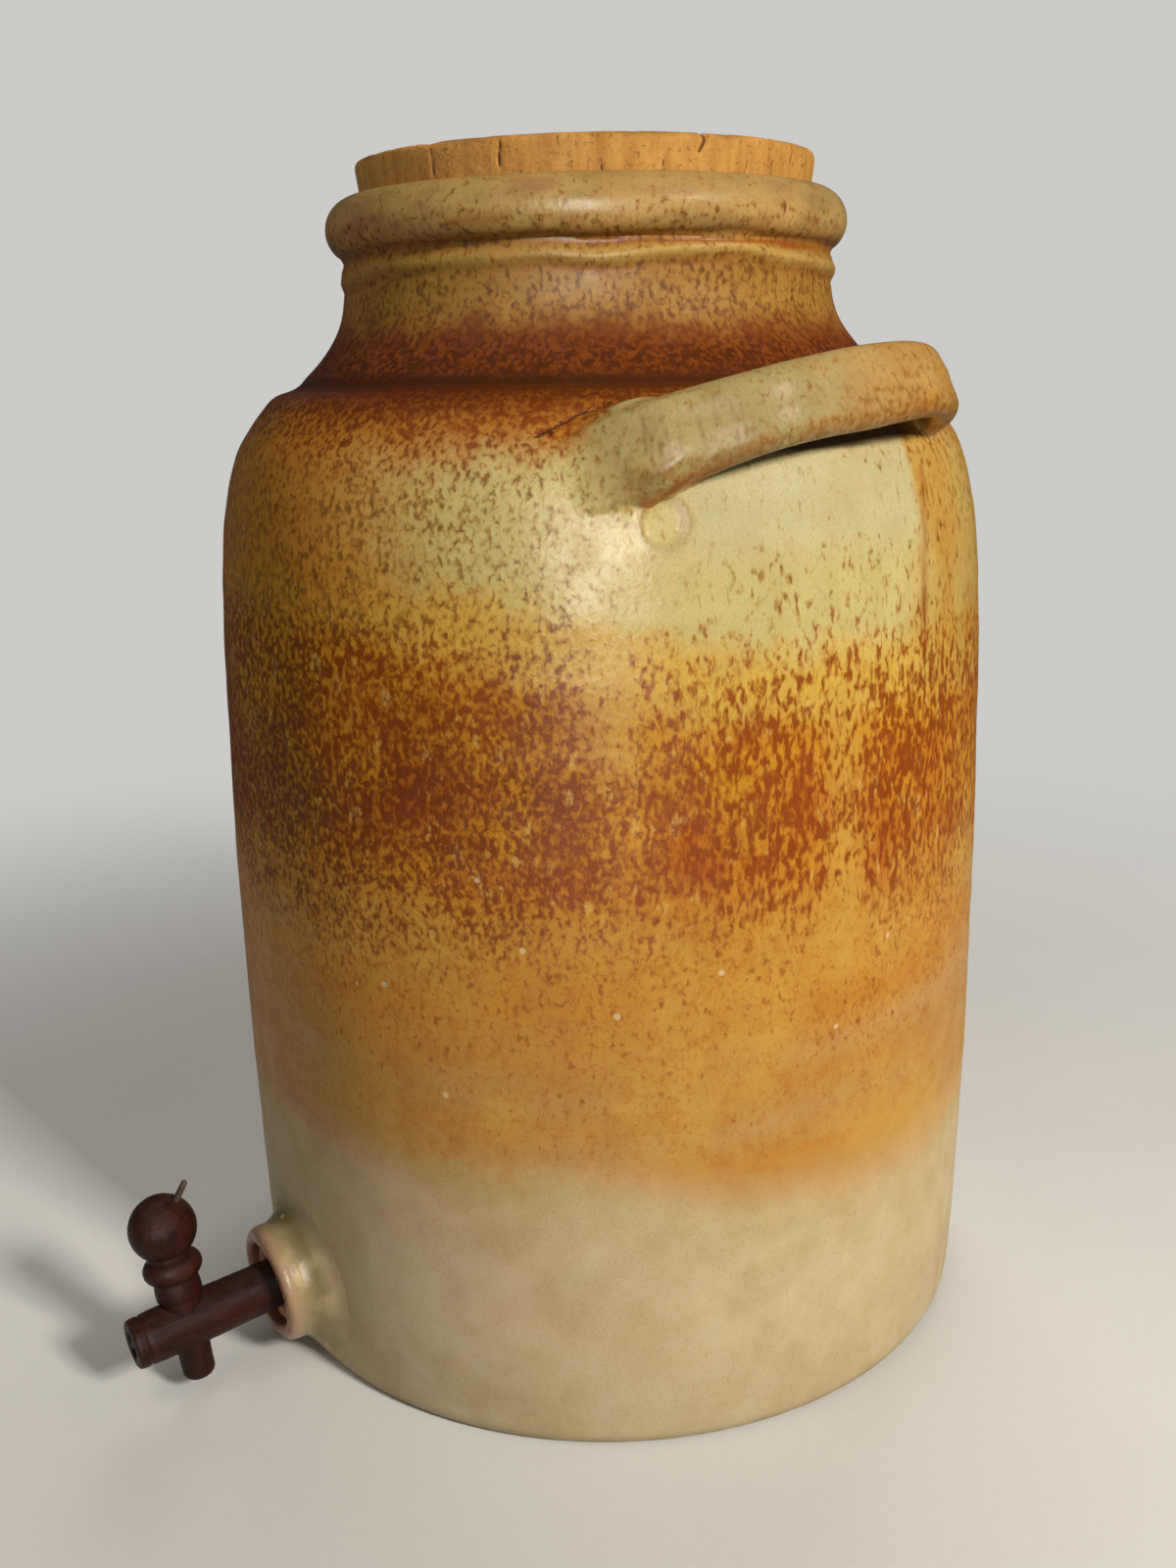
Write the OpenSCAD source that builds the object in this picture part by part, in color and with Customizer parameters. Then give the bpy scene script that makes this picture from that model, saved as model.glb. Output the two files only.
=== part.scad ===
// Stoneware vinegar crock with a cork stopper, two strap handles and a turned wooden tap.
// Origin: centre of the base on the table. +Z up, tap towards -Y, handles towards +X and -X. Millimetres.

/* [Crock] */
// Largest outside radius of the jar
body_r = 125; // [115:1:135]
// Height of the jar from the table to the top of the rim
crock_h = 362; // [345:1:380]
// Radius of the rolled bead of the rim
rim_bead_r = 9.6; // [8.5:0.1:10.5]
// Radius of the rim's bead centre
rim_bead_at = 71.2; // [70.8:0.1:73]

/* [Cork stopper] */
// Radius of the cork at its top face
cork_top_r = 71; // [70.5:0.1:71.5]
// How far the cork stands above the rim
cork_stand = 10; // [6:0.5:14]
// Length of the cork
cork_len = 38; // [30:1:42]
// Radial gap between the cork and the mouth
cork_gap = 0.35; // [0.3:0.05:0.6]

/* [Handles] */
// Width of the strap
strap_w = 22.6; // [20:0.2:24]
// Thickness of the strap
strap_t = 9.2; // [8:0.2:10]
// Half the distance between the two legs of a handle
strap_half = 49.5; // [46:0.5:51]
// Reach of the loop from the wall, along its own slope
strap_reach = 21; // [20:0.5:24]
// Upward slope of the loop
strap_tilt = 20; // [17:1:24]
// Height of the handle's middle where it leaves the shoulder
strap_z = 296.6; // [294:0.2:299]
// How far the end near the tap hangs lower, as an angle
strap_roll = 6.5; // [0:0.5:7]
// How far the handles are set round towards the tap
strap_turn = 2.4; // [0:0.1:4]

/* [Tap] */
// Height of the tap's axis at the mouth of the boss
tap_z = 26.5; // [26:0.1:30]
// Downward slope of the tap
tap_droop = 5; // [0:0.5:6]
// Twist of the tap in its cork
tap_roll = -11; // [-15:1:15]
// Radius of the bore through the boss and the wall
boss_bore_r = 13.8; // [12:0.1:14]
// Outside radius of the boss at its lip
boss_lip_r = 19.5; // [18.5:0.1:20]
// Radius of the barrel at the key
barrel_r = 8.2; // [7.8:0.1:8.8]
// Length of the barrel outside the boss
nose_len = 44.5; // [42:0.5:48]
// Length of the tail behind the lip of the boss
tail_len = 42; // [38:0.5:48]
// Radius of the liquid channel
channel_r = 4; // [3:0.1:4.2]
// Distance of the key from the lip of the boss
key_at = 26.6; // [25:0.1:28]
// Radius of the knob
knob_r = 10.6; // [9.5:0.1:11.5]
// Radial gap between the tail and its cork sleeve
sleeve_gap = 0.45; // [0.4:0.05:0.6]
// Radial running clearance of the key in its seat
key_gap = 0.08; // [0.04:0.01:0.1]

/* [Hidden] */
$fn = 96;

// Distance of the boss lip from the crock's axis
lip_y = body_r + 11;
// Fraction by which the cork narrows downwards
cork_taper = 0.14;
cork_top_z = crock_h + cork_stand;
function cork_r_at(z) = cork_top_r - cork_taper * (cork_top_z - z);

// Smooth curve through the control points, n steps between each pair
function cr(a, b, c, d, t) = 0.5 * (2 * b + (c - a) * t + (2 * a - 5 * b + 4 * c - d) * t * t
                                    + (3 * b - a - 3 * c + d) * t * t * t);
function smooth(p, n) = concat([for (i = [0 : len(p) - 2])
        let (a = p[max(0, i - 1)], b = p[i], c = p[i + 1], d = p[min(len(p) - 1, i + 2)])
        for (k = [0 : n - 1]) cr(a, b, c, d, k / n)], [p[len(p) - 1]]);
// A profile point as percentages of the largest radius and the height
function pt(r, z) = [r / 100 * body_r, z / 100 * crock_h];
// Points of a circular arc
function arc(cx, cy, r, a0, a1, n) = [for (i = [0 : n]) let (a = a0 + (a1 - a0) * i / n)
        [cx + r * cos(a), cy + r * sin(a)]];

outer_curve = smooth([pt(95.4, 0), pt(96.9, 0.45), pt(98, 1.9), pt(98.7, 7), pt(99.4, 15), pt(99.9, 27),
        pt(100, 40), pt(99.4, 52), pt(98.4, 64), pt(96.3, 73), pt(92.5, 78.5), pt(88.3, 81.2),
        pt(83, 83.3), pt(77.6, 84.6), pt(73.2, 85.4), pt(67.4, 87.3), pt(63.1, 89.5), pt(61.3, 91.7),
        pt(61.3, 94)], 2);
inner_curve = smooth([pt(80, 3.3), pt(87.5, 4.2), pt(90.7, 6.5), pt(92, 12), pt(92.7, 27),
        pt(92.8, 40), pt(92.2, 52), pt(91.2, 64), pt(89.2, 72.6), pt(85.3, 77.4), pt(80.5, 79.8),
        pt(75, 81.6), pt(69, 83), pt(63, 84.8), pt(58.5, 87.2), pt(56.2, 89.5), pt(55, 92.5),
        pt(54.8, 94)], 2);

seat_z = crock_h - 17;
rim_z = crock_h - rim_bead_r;

// Everything inside the jar's outer skin, used to trim what is luted on
module outer_solid() {
    rotate_extrude()
        union() {
            polygon(concat([[0, 0]], outer_curve, [[0.613 * body_r, rim_z], [0, rim_z]]));
            translate([rim_bead_at - 20, rim_z - rim_bead_r]) square([20, 2 * rim_bead_r]);
            translate([rim_bead_at, rim_z]) circle(rim_bead_r);
        }
}

module hollow() {
    lip = cork_r_at(crock_h - 3.5) + cork_gap;
    rotate_extrude()
        polygon(concat([[0, 0.033 * crock_h]], inner_curve,
            [[cork_r_at(seat_z) + cork_gap, seat_z], [lip, crock_h - 3.5],
             [lip + 1, crock_h - 1.4], [lip + 2.6, crock_h - 0.25], [lip + 2.6, crock_h + 30],
             [0, crock_h + 30]]));
}

// Frame of the tap: -Y points out along the barrel, +Z along the key, origin at the mouth of the boss
module tap_frame() {
    translate([0, -lip_y, tap_z]) rotate([tap_droop, 0, 0]) rotate([0, tap_roll, 0]) children();
}
// Turned about the barrel axis, +Z outwards
module along_barrel() {
    tap_frame() rotate([90, 0, 0]) children();
}
// Turned about the key axis, +Z upwards
module along_key() {
    tap_frame() translate([0, -key_at, 0]) children();
}

module crock_body() {
    color([0.74, 0.56, 0.33])
        difference() {
            outer_solid();
            hollow();
            along_barrel() translate([0, 0, -60]) cylinder(h = 80, r = boss_bore_r);
        }
}

// Flat strap with rounded edges: x is the thickness, y is the width
module strap_section() {
    union() {
        square([strap_t, strap_w - strap_t], center = true);
        translate([0, (strap_w - strap_t) / 2]) circle(strap_t / 2);
        translate([0, -(strap_w - strap_t) / 2]) circle(strap_t / 2);
    }
}

// Loop of strap: two legs, two bends and the grip, in one plane that slopes up and out from the shoulder
module strap_loop() {
    bend = 26;
    rotate([0, 0, -strap_turn]) translate([0.8 * body_r, 0, strap_z]) rotate([0, -strap_tilt, 0])
        rotate([strap_roll, 0, 0]) union() {
            rotate([90, 0, 0]) linear_extrude(height = 2 * (strap_half - bend), center = true)
                translate([strap_reach, 0]) strap_section();
            for (s = [-1, 1]) {
                translate([strap_reach - bend, s * (strap_half - bend), 0]) rotate([0, 0, s > 0 ? 0 : -90])
                    rotate_extrude(angle = 90) translate([bend, 0]) strap_section();
                translate([-32, s * strap_half, 0]) rotate([90, 0, 90])
                    linear_extrude(height = strap_reach - bend + 32) strap_section();
            }
        }
}

module handle() {
    color([0.78, 0.66, 0.42])
        difference() {
            strap_loop();
            outer_solid();
        }
}
module right_handle() { handle(); }
module left_handle() { mirror([1, 0, 0]) handle(); }

// Luted collar: rounded lip, short neck and a flare onto the wall
module tap_boss() {
    color([0.76, 0.62, 0.48])
        difference() {
            along_barrel() rotate_extrude()
                polygon(concat([[0, -30], [boss_lip_r + 6, -30]],
                    arc(boss_lip_r + 7, -6, 7, 262, 182, 8),
                    arc(boss_lip_r - 3.4, -3.4, 3.4, 0, 90, 6), [[0, 0]]));
            outer_solid();
            along_barrel() translate([0, 0, -60]) cylinder(h = 80, r = boss_bore_r);
            translate([-60, -lip_y - 30, -40]) cube([120, 60, 41]);
        }
}

// Tail radius of the barrel at distance t from the lip (t is negative inside the boss)
function tail_r(t) = 7.9 + 0.028 * t;

module tap_cork_sleeve() {
    color([0.55, 0.36, 0.2])
        along_barrel() rotate_extrude()
            polygon([[tail_r(-26) + sleeve_gap, -26], [boss_bore_r - 0.8, -26], [boss_bore_r, -25],
                     [boss_bore_r, -4], [boss_bore_r - 0.8, -3], [tail_r(-3) + sleeve_gap, -3]]);
}

module cork_stopper() {
    z0 = cork_top_z - cork_len;
    color([0.8, 0.58, 0.3])
        rotate_extrude()
            polygon([[0, z0], [cork_r_at(z0) - 1.2, z0], [cork_r_at(z0 + 1.2), z0 + 1.2],
                     [cork_r_at(cork_top_z - 1.8), cork_top_z - 1.8], [cork_top_r - 1.8, cork_top_z],
                     [0, cork_top_z]]);
}

// Radius of the key's tapered plug at height h from the barrel axis
function plug_r(h) = 5.95 + 0.075 * h;

module tap_barrel() {
    n = nose_len;
    color([0.2, 0.11, 0.09])
        difference() {
            along_barrel() rotate_extrude()
                polygon(concat([[0, -tail_len], [tail_r(-tail_len) - 1, -tail_len],
                     [tail_r(-tail_len + 1), -tail_len + 1], [tail_r(0), 0], [barrel_r - 0.2, 8]],
                     [[barrel_r, key_at - 9], [barrel_r, key_at + 9], [barrel_r - 0.2, n - 4.6],
                      [barrel_r - 0.6, n - 4.2], [barrel_r - 0.2, n - 3.8], [barrel_r - 0.3, n - 1.2],
                      [barrel_r - 1.4, n], [0, n]]));
            along_barrel() translate([0, 0, -tail_len - 1])
                cylinder(h = tail_len + n + 2, r = channel_r);
            along_key() translate([0, 0, -12])
                cylinder(h = 24, r1 = plug_r(-12) + key_gap, r2 = plug_r(12) + key_gap);
        }
}

module tap_key() {
    k = 32;
    color([0.24, 0.12, 0.1])
        difference() {
            along_key() rotate_extrude()
                polygon(concat([[0, -18.6]], arc(2.4, -15.9, 2.7, -90, 0, 5),
                    [[plug_r(-9), -9], [plug_r(9), 9], [7.2, 9.3], [7.3, 11.5], [7.1, 14.2]],
                    arc(5.4, 19, 3.9, -65, 65, 8),
                    [[7.1, 23.4], [7.0, 24.2]],
                    arc(0, k, knob_r, -46, 90, 16)));
            along_key() rotate([0, 90, 0]) cylinder(h = 30, r = 3.2, center = true);
            along_key() peg_place() cylinder(h = 20, r = 1.15);
        }
}

// The peg stands out of the knob's side, towards the crock
module peg_place() {
    translate([0, 0, 32]) rotate([0, 0, 56]) rotate([0, 38, 0]) translate([0, 0, 5]) children();
}

module key_peg() {
    color([0.42, 0.33, 0.24])
        along_key() peg_place() rotate_extrude()
            polygon([[0, 0], [1.15, 0], [1.15, 12.1], [0.8, 12.6], [0, 12.6]]);
}

crock_body();
right_handle();
left_handle();
tap_boss();
tap_cork_sleeve();
cork_stopper();
tap_barrel();
tap_key();
key_peg();
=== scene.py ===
import math
import bpy
import bmesh
import numpy as np
from mathutils import Matrix, Vector


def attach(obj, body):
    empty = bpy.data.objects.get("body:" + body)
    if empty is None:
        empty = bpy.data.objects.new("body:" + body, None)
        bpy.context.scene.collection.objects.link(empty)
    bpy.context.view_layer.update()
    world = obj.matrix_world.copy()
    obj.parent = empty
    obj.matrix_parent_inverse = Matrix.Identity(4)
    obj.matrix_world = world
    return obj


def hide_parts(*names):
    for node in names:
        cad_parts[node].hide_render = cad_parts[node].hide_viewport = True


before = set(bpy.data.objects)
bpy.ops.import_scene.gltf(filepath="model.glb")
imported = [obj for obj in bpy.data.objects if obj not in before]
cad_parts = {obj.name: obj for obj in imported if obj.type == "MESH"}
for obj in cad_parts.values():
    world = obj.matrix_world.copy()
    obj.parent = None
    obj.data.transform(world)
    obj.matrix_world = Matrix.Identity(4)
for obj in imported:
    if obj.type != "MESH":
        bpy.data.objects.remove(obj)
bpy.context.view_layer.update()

import openvdb as vdb

MM = 0.001
scene = bpy.context.scene


# ---------------------------------------------------------------- small tools
def smoothstep(a, b, x):
    t = np.clip((np.asarray(x, float) - a) / (b - a), 0.0, 1.0)
    return t * t * (3 - 2 * t)


def over(under, colour, t):
    """Lays a colour, or a colour for each point, over another by the share t."""
    t = np.clip(np.asarray(t, float), 0, 1)[:, None]
    return under * (1 - t) + np.asarray(colour, float) * t


def hill(x, centre, width):
    return np.exp(-((x - centre) / width) ** 2)


class Perlin:
    """Seeded gradient noise in three dimensions, about -1 to 1."""

    def __init__(self, seed):
        rng = np.random.RandomState(seed)
        p = rng.permutation(256)
        self.perm = np.concatenate([p, p, p])
        g = rng.normal(size=(256, 3))
        self.grad = g / np.linalg.norm(g, axis=1)[:, None]

    def __call__(self, P):
        i = np.floor(P).astype(np.int64)
        f = P - i
        u = f * f * f * (f * (f * 6 - 15) + 10)
        i &= 255
        out = np.zeros(len(P))
        for dx in (0, 1):
            wx = u[:, 0] if dx else 1 - u[:, 0]
            for dy in (0, 1):
                wy = u[:, 1] if dy else 1 - u[:, 1]
                for dz in (0, 1):
                    wz = u[:, 2] if dz else 1 - u[:, 2]
                    h = self.perm[self.perm[self.perm[i[:, 0] + dx] + i[:, 1] + dy] + i[:, 2] + dz]
                    d = self.grad[h]
                    out += wx * wy * wz * (d[:, 0] * (f[:, 0] - dx) + d[:, 1] * (f[:, 1] - dy)
                                           + d[:, 2] * (f[:, 2] - dz))
        return out * 1.6


def fbm(P, size, octaves=3, seed=1, gain=0.5, stretch=(1, 1, 1)):
    """Layered noise; size is the width of its largest features, in the units of P."""
    q = P / size / np.asarray(stretch, float)
    total, amp, norm = np.zeros(len(P)), 1.0, 0.0
    for k in range(octaves):
        total += amp * Perlin(seed + 31 * k)(q * 2.0 ** k + 17.3 * k)
        norm += amp
        amp *= gain
    return total / norm


def catmull(points, n):
    p = np.asarray(points, float)
    out = []
    for i in range(len(p) - 1):
        a, b, c, d = p[max(0, i - 1)], p[i], p[i + 1], p[min(len(p) - 1, i + 2)]
        for k in range(n):
            t = k / n
            out.append(0.5 * (2 * b + (c - a) * t + (2 * a - 5 * b + 4 * c - d) * t * t
                              + (3 * b - a - 3 * c + d) * t ** 3))
    out.append(p[-1])
    return np.array(out)


def resample(poly, step):
    """Points along a polyline, about step apart; step may be a function of the point."""
    poly = np.asarray(poly, float)
    seg = np.linalg.norm(np.diff(poly, axis=0), axis=1)
    s = np.concatenate([[0], np.cumsum(seg)])
    if callable(step):
        w = np.array([1.0 / step(m) for m in (poly[1:] + poly[:-1]) / 2])
        c = np.concatenate([[0], np.cumsum(seg * w)])
        n = max(2, int(round(c[-1])))
        at = np.interp(np.linspace(0, c[-1], n + 1), c, s)
    else:
        n = max(2, int(round(s[-1] / step)))
        at = np.linspace(0, s[-1], n + 1)
    return np.stack([np.interp(at, s, poly[:, k]) for k in range(poly.shape[1])], 1)


def arc(cx, cy, r, a0, a1, n):
    a = np.radians(np.linspace(a0, a1, n + 1))
    return np.stack([cx + r * np.cos(a), cy + r * np.sin(a)], 1)


# ---------------------------------------------------------------- mesh tools
def make_mesh(name, verts_mm, faces):
    """A smooth-shaded mesh object from points in millimetres and a list of faces."""
    me = bpy.data.meshes.new(name)
    me.from_pydata((np.asarray(verts_mm, float) * MM).tolist(), [], [tuple(map(int, f)) for f in faces])
    me.validate()
    me.update()
    me.polygons.foreach_set("use_smooth", np.ones(len(me.polygons), bool))
    ob = bpy.data.objects.new(name, me)
    scene.collection.objects.link(ob)
    return ob


def sharpen(ob, angle):
    """Marks the edges that turn by more than angle degrees as sharp."""
    bm = bmesh.new()
    bm.from_mesh(ob.data)
    lim = math.radians(angle)
    for e in bm.edges:
        if len(e.link_faces) == 2:
            e.smooth = e.calc_face_angle(0.0) < lim
    bm.to_mesh(ob.data)
    bm.free()
    ob.data.update()


def lathe(profile, angles, loop=False):
    """Revolves (r, z) points about z. With loop the last row joins the first; without it a row on the axis is a point."""
    prof = np.asarray(profile, float)
    n, m = len(angles), len(prof)
    verts, first, rows = [], [], []
    for i, (r, z) in enumerate(prof):
        first.append(len(verts))
        if r < 1e-6:
            verts.append((0.0, 0.0, z))
            rows.append(i)
        else:
            verts += [(r * math.cos(a), r * math.sin(a), z) for a in angles]
            rows += [i] * n
    faces = []
    for i in range(m if loop else m - 1):
        j = (i + 1) % m
        a, b = first[i], first[j]
        for k in range(n):
            k2 = (k + 1) % n
            if prof[i][0] < 1e-6:
                faces.append((a, b + k2, b + k))
            elif prof[j][0] < 1e-6:
                faces.append((a + k, a + k2, b))
            else:
                faces.append((a + k, a + k2, b + k2, b + k))
    return np.array(verts), faces, np.array(rows)


def turns(n):
    return np.linspace(0, 2 * np.pi, n, endpoint=False)


def zipper(a, na, b, nb):
    """Triangles from an outer ring of na points to an inner ring of nb points, seen from above."""
    faces, i, j = [], 0, 0
    while i < na or j < nb:
        ta = (i + 1) / na if i < na else 9
        tb = (j + 1) / nb if j < nb else 9
        if ta <= tb:
            faces.append((a + i % na, a + (i + 1) % na, b + j % nb))
            i += 1
        else:
            faces.append((a + i % na, b + (j + 1) % nb, b + j % nb))
            j += 1
    return faces


def normals_of(ob):
    n = np.zeros(len(ob.data.vertices) * 3)
    ob.data.vertex_normals.foreach_get("vector", n)
    return n.reshape(-1, 3)


def points_mm(ob):
    v = np.zeros(len(ob.data.vertices) * 3)
    ob.data.vertices.foreach_get("co", v)
    return v.reshape(-1, 3) / MM


def set_points(ob, P):
    ob.data.vertices.foreach_set("co", (P * MM).ravel())
    ob.data.update()


def put(ob, name, values):
    """A value, place or colour at each vertex, which the material reads."""
    values = np.asarray(values, np.float32)
    if values.ndim == 1:
        a = ob.data.attributes.new(name, "FLOAT", "POINT")
        a.data.foreach_set("value", values)
    elif name == "loc":
        a = ob.data.attributes.new(name, "FLOAT_VECTOR", "POINT")
        a.data.foreach_set("vector", values.ravel())
    else:
        a = ob.data.attributes.new(name, "FLOAT_COLOR", "POINT")
        rgba = np.ones((len(values), 4), np.float32)
        rgba[:, :3] = values
        a.data.foreach_set("color", rgba.ravel())


def cut(ob, cutter):
    """Cuts cutter out of ob and removes cutter."""
    m = ob.modifiers.new("cut", "BOOLEAN")
    m.operation, m.object, m.solver = "DIFFERENCE", cutter, "EXACT"
    dg = bpy.context.evaluated_depsgraph_get()
    new = bpy.data.meshes.new_from_object(ob.evaluated_get(dg))
    ob.modifiers.clear()
    old, ob.data = ob.data, new
    bpy.data.meshes.remove(old)
    me = cutter.data
    bpy.data.objects.remove(cutter)
    bpy.data.meshes.remove(me)
    ob.data.polygons.foreach_set("use_smooth", np.ones(len(ob.data.polygons), bool))


def from_field(name, field, lo, hi, step):
    """A closed quad mesh of field < 0 in the box, with its points moved onto the true surface."""
    lo, hi = np.asarray(lo, float), np.asarray(hi, float)
    n = np.ceil((hi - lo) / step).astype(int) + 1
    ax = [lo[k] + step * np.arange(n[k]) for k in range(3)]
    vals = np.empty(n, np.float32)
    Y, Z = np.meshgrid(ax[1], ax[2], indexing="ij")
    for i in range(0, n[0], 24):
        xs = ax[0][i:i + 24]
        P = np.stack([np.repeat(xs, Y.size), np.tile(Y.ravel(), len(xs)), np.tile(Z.ravel(), len(xs))], 1)
        vals[i:i + 24] = field(P).reshape(len(xs), n[1], n[2])
    far = 4 * step
    vals = np.clip(vals, -far, far)
    vals[0], vals[-1] = far, far
    vals[:, 0], vals[:, -1] = far, far
    vals[:, :, 0], vals[:, :, -1] = far, far
    grid = vdb.FloatGrid(far)
    grid.copyFromArray(vals)
    points, quads = grid.convertToQuads(isovalue=0.0)
    P = np.asarray(points, float) * step + lo
    e = 0.05
    for _ in range(3):
        f0 = field(P)
        G = np.stack([(field(P + d) - f0) / e for d in np.eye(3) * e], 1)
        g2 = (G ** 2).sum(1)
        s = np.where(g2 > 0.05, f0 / np.maximum(g2, 0.05), 0)
        move = -s[:, None] * G
        length = np.linalg.norm(move, axis=1)[:, None]
        P = P + move * np.minimum(1, 0.45 * step / np.maximum(length, 1e-9))
    ob = make_mesh(name, P, np.asarray(quads, np.int64)[:, ::-1])
    bm = bmesh.new()
    bm.from_mesh(ob.data)
    bmesh.ops.recalc_face_normals(bm, faces=bm.faces)
    bm.to_mesh(ob.data)
    bm.free()
    ob.data.polygons.foreach_set("use_smooth", np.ones(len(ob.data.polygons), bool))
    ob.data.update()
    return ob


def finish_piece(ob, body, node, material):
    ob.data.materials.clear()
    ob.data.materials.append(material)
    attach(ob, body)
    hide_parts(node)


# ---------------------------------------------------------------- measures in millimetres, as in the CAD
BODY_R, CROCK_H = 125.0, 362.0


def pts(*pairs):
    return [(r / 100 * BODY_R, z / 100 * CROCK_H) for r, z in pairs]


OUTER = catmull(pts((95.4, 0), (96.9, 0.45), (98, 1.9), (98.7, 7), (99.4, 15), (99.9, 27), (100, 40),
                    (99.4, 52), (98.4, 64), (96.3, 73), (92.5, 78.5), (88.3, 81.2), (83, 83.3),
                    (77.6, 84.6), (73.2, 85.4), (67.4, 87.3), (63.1, 89.5), (61.3, 91.7), (61.3, 94)), 10)
INNER = catmull(pts((80, 3.3), (87.5, 4.2), (90.7, 6.5), (92, 12), (92.7, 27), (92.8, 40), (92.2, 52),
                    (91.2, 64), (89.2, 72.6), (85.3, 77.4), (80.5, 79.8), (75, 81.6), (69, 83), (63, 84.8),
                    (58.5, 87.2), (56.2, 89.5), (55, 92.5), (54.8, 94)), 6)
RIM_R, RIM_AT = 9.6, 71.2
RIM_Z = CROCK_H - RIM_R
CORK_Z, CORK_R, CORK_LEN = 372.0, 71.0, 38.0


def cork_r(z):
    return CORK_R - 0.14 * (CORK_Z - z)


def azimuth(P):
    """Degrees from the tap's side, growing towards the right handle."""
    return np.degrees(np.arctan2(P[:, 0], -P[:, 1]))


LEAN = np.array([-0.559, -0.829]) * 2.0


def lean(z):
    """How far the neck stands off the axis."""
    return smoothstep(282, 336, z)[:, None] * LEAN


# ---------------------------------------------------------------- the wall, as a distance
_R0, _Z0, _STEP = 40.0, -12.0, 0.5
_r = _R0 + _STEP * np.arange(261)
_z = _Z0 + _STEP * np.arange(721)


def _wall_table():
    r, z = [a.ravel() for a in np.meshgrid(_r, _z, indexing="ij")]
    line = resample(OUTER, 2.0)
    best = np.full(len(r), 1e9)
    for a, b in zip(line[:-1], line[1:]):
        d = b - a
        t = np.clip(((r - a[0]) * d[0] + (z - a[1]) * d[1]) / (d @ d), 0, 1)
        best = np.minimum(best, (r - a[0] - t * d[0]) ** 2 + (z - a[1] - t * d[1]) ** 2)
    inside = r < np.interp(z, line[:, 1], line[:, 0])
    return (np.sqrt(best) * np.where(inside, -1, 1)).reshape(len(_r), len(_z))


_WALL = _wall_table()


def wall(P):
    """Signed distance from the smooth outer skin below the rim, negative inside."""
    u = np.clip((np.hypot(P[:, 0], P[:, 1]) - _R0) / _STEP, 0, len(_r) - 1.001)
    v = np.clip((P[:, 2] - _Z0) / _STEP, 0, len(_z) - 1.001)
    i, j = u.astype(int), v.astype(int)
    u, v = u - i, v - j
    return ((_WALL[i, j] * (1 - u) + _WALL[i + 1, j] * u) * (1 - v)
            + (_WALL[i, j + 1] * (1 - u) + _WALL[i + 1, j + 1] * u) * v)


def track(az, z, line, width, radius=118.0):
    """How close a point of the wall is to a line of (azimuth, height) points: 1 on it."""
    k = math.radians(1) * radius
    best = np.full(len(az), 1e9)
    for (a0, z0), (a1, z1) in zip(line[:-1], line[1:]):
        x, y, dx, dy = (az - a0) * k, z - z0, (a1 - a0) * k, z1 - z0
        t = np.clip((x * dx + y * dy) / (dx * dx + dy * dy), 0, 1)
        best = np.minimum(best, (x - t * dx) ** 2 + (y - t * dy) ** 2)
    return np.exp(-best / width ** 2)


CRACK_A = [(58.4, 302.6), (55.6, 301.2), (52.4, 298.6), (50.4, 297.0), (47.6, 294.8)]
CRACK_B = [(57.4, 300.8), (54.8, 298.8), (52.8, 295.6), (50.4, 292.4)]
DRIP = [(107.4, 284.0), (105.4, 271.0), (104.5, 258.0), (104.2, 247.0), (103.9, 232.0)]
THUMB = (64.2, 273.6, 5.8)


def under_rim(az):
    """How the crease under the rim wanders up and down."""
    a = np.radians(az)
    return 1.5 * np.sin(2 * a + 5.5) + 0.8 * np.sin(5 * a) + 0.5 * np.sin(9 * a + 1.0) + 0.3 * np.sin(17 * a)


def relief(P):
    """How far the hand-thrown skin stands out from the smooth profile."""
    z, az = P[:, 2], azimuth(P)
    a = np.radians(az)
    h = 0.34 * fbm(P, 95, 2, 3) + 0.13 * fbm(P, 30, 2, 7)
    rings = fbm(np.stack([0 * z + 3.0, 0.05 * a + 7.0, z], 1), 10.0, 2, 13)
    h = h + 0.20 * rings * smoothstep(330, 290, z)
    h = h * smoothstep(0.5, 14, z)
    wave = under_rim(az)
    h = h + 1.15 * hill(z, 339.9 + wave, 1.7) * (0.55 + 0.45 * smoothstep(30, 62, az)) - 0.8 * hill(z, 344.2 + 0.6 * wave, 1.3)
    h = h - 0.3 * hill(z, 336.6 + wave, 1.0)
    h = h - 0.9 * hill(z, 307.6 + 0.8 * np.sin(2 * a + 0.2), 1.8) + 0.4 * hill(z, 303.4, 2.4)
    for line in (CRACK_A, CRACK_B):
        h = h - 0.40 * track(az, z, line, 1.2) + 0.30 * track(az, z + 2.0, line, 1.6)
    k = math.radians(1) * 118
    ring = np.hypot((az - THUMB[0]) * k, z - THUMB[1])
    h = h - 0.55 * smoothstep(THUMB[2] + 0.4, THUMB[2] - 2.2, ring) + 0.40 * hill(ring, THUMB[2] + 0.7, 1.3)
    h = h + 0.22 * track(az, z, DRIP, 1.5)
    h = h + 0.4 * smoothstep(346, 350, z) * fbm(P, 60, 2, 17)
    return h


def smin(a, b, k):
    h = np.maximum(k - np.abs(a - b), 0) / k
    return np.minimum(a, b) - h * h * k * 0.25


def luted(part, w, k, smear=0.0, skin=0.09, edge=0.04, deep=2.6):
    """What a luted-on part adds to the wall: itself, its fillet and its smear, closed off just under the skin."""
    both = smin(part, w - smear, k)
    return np.maximum(np.maximum(both + skin, -(w + deep)), (edge - (w - both)) * 4.0)


# ---------------------------------------------------------------- handles
S_T, S_W, S_HALF, S_REACH, S_TILT, S_Z, S_ROLL, S_TURN = 9.2, 22.6, 49.5, 21.0, 20.0, 296.6, 6.5, 2.4


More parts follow.
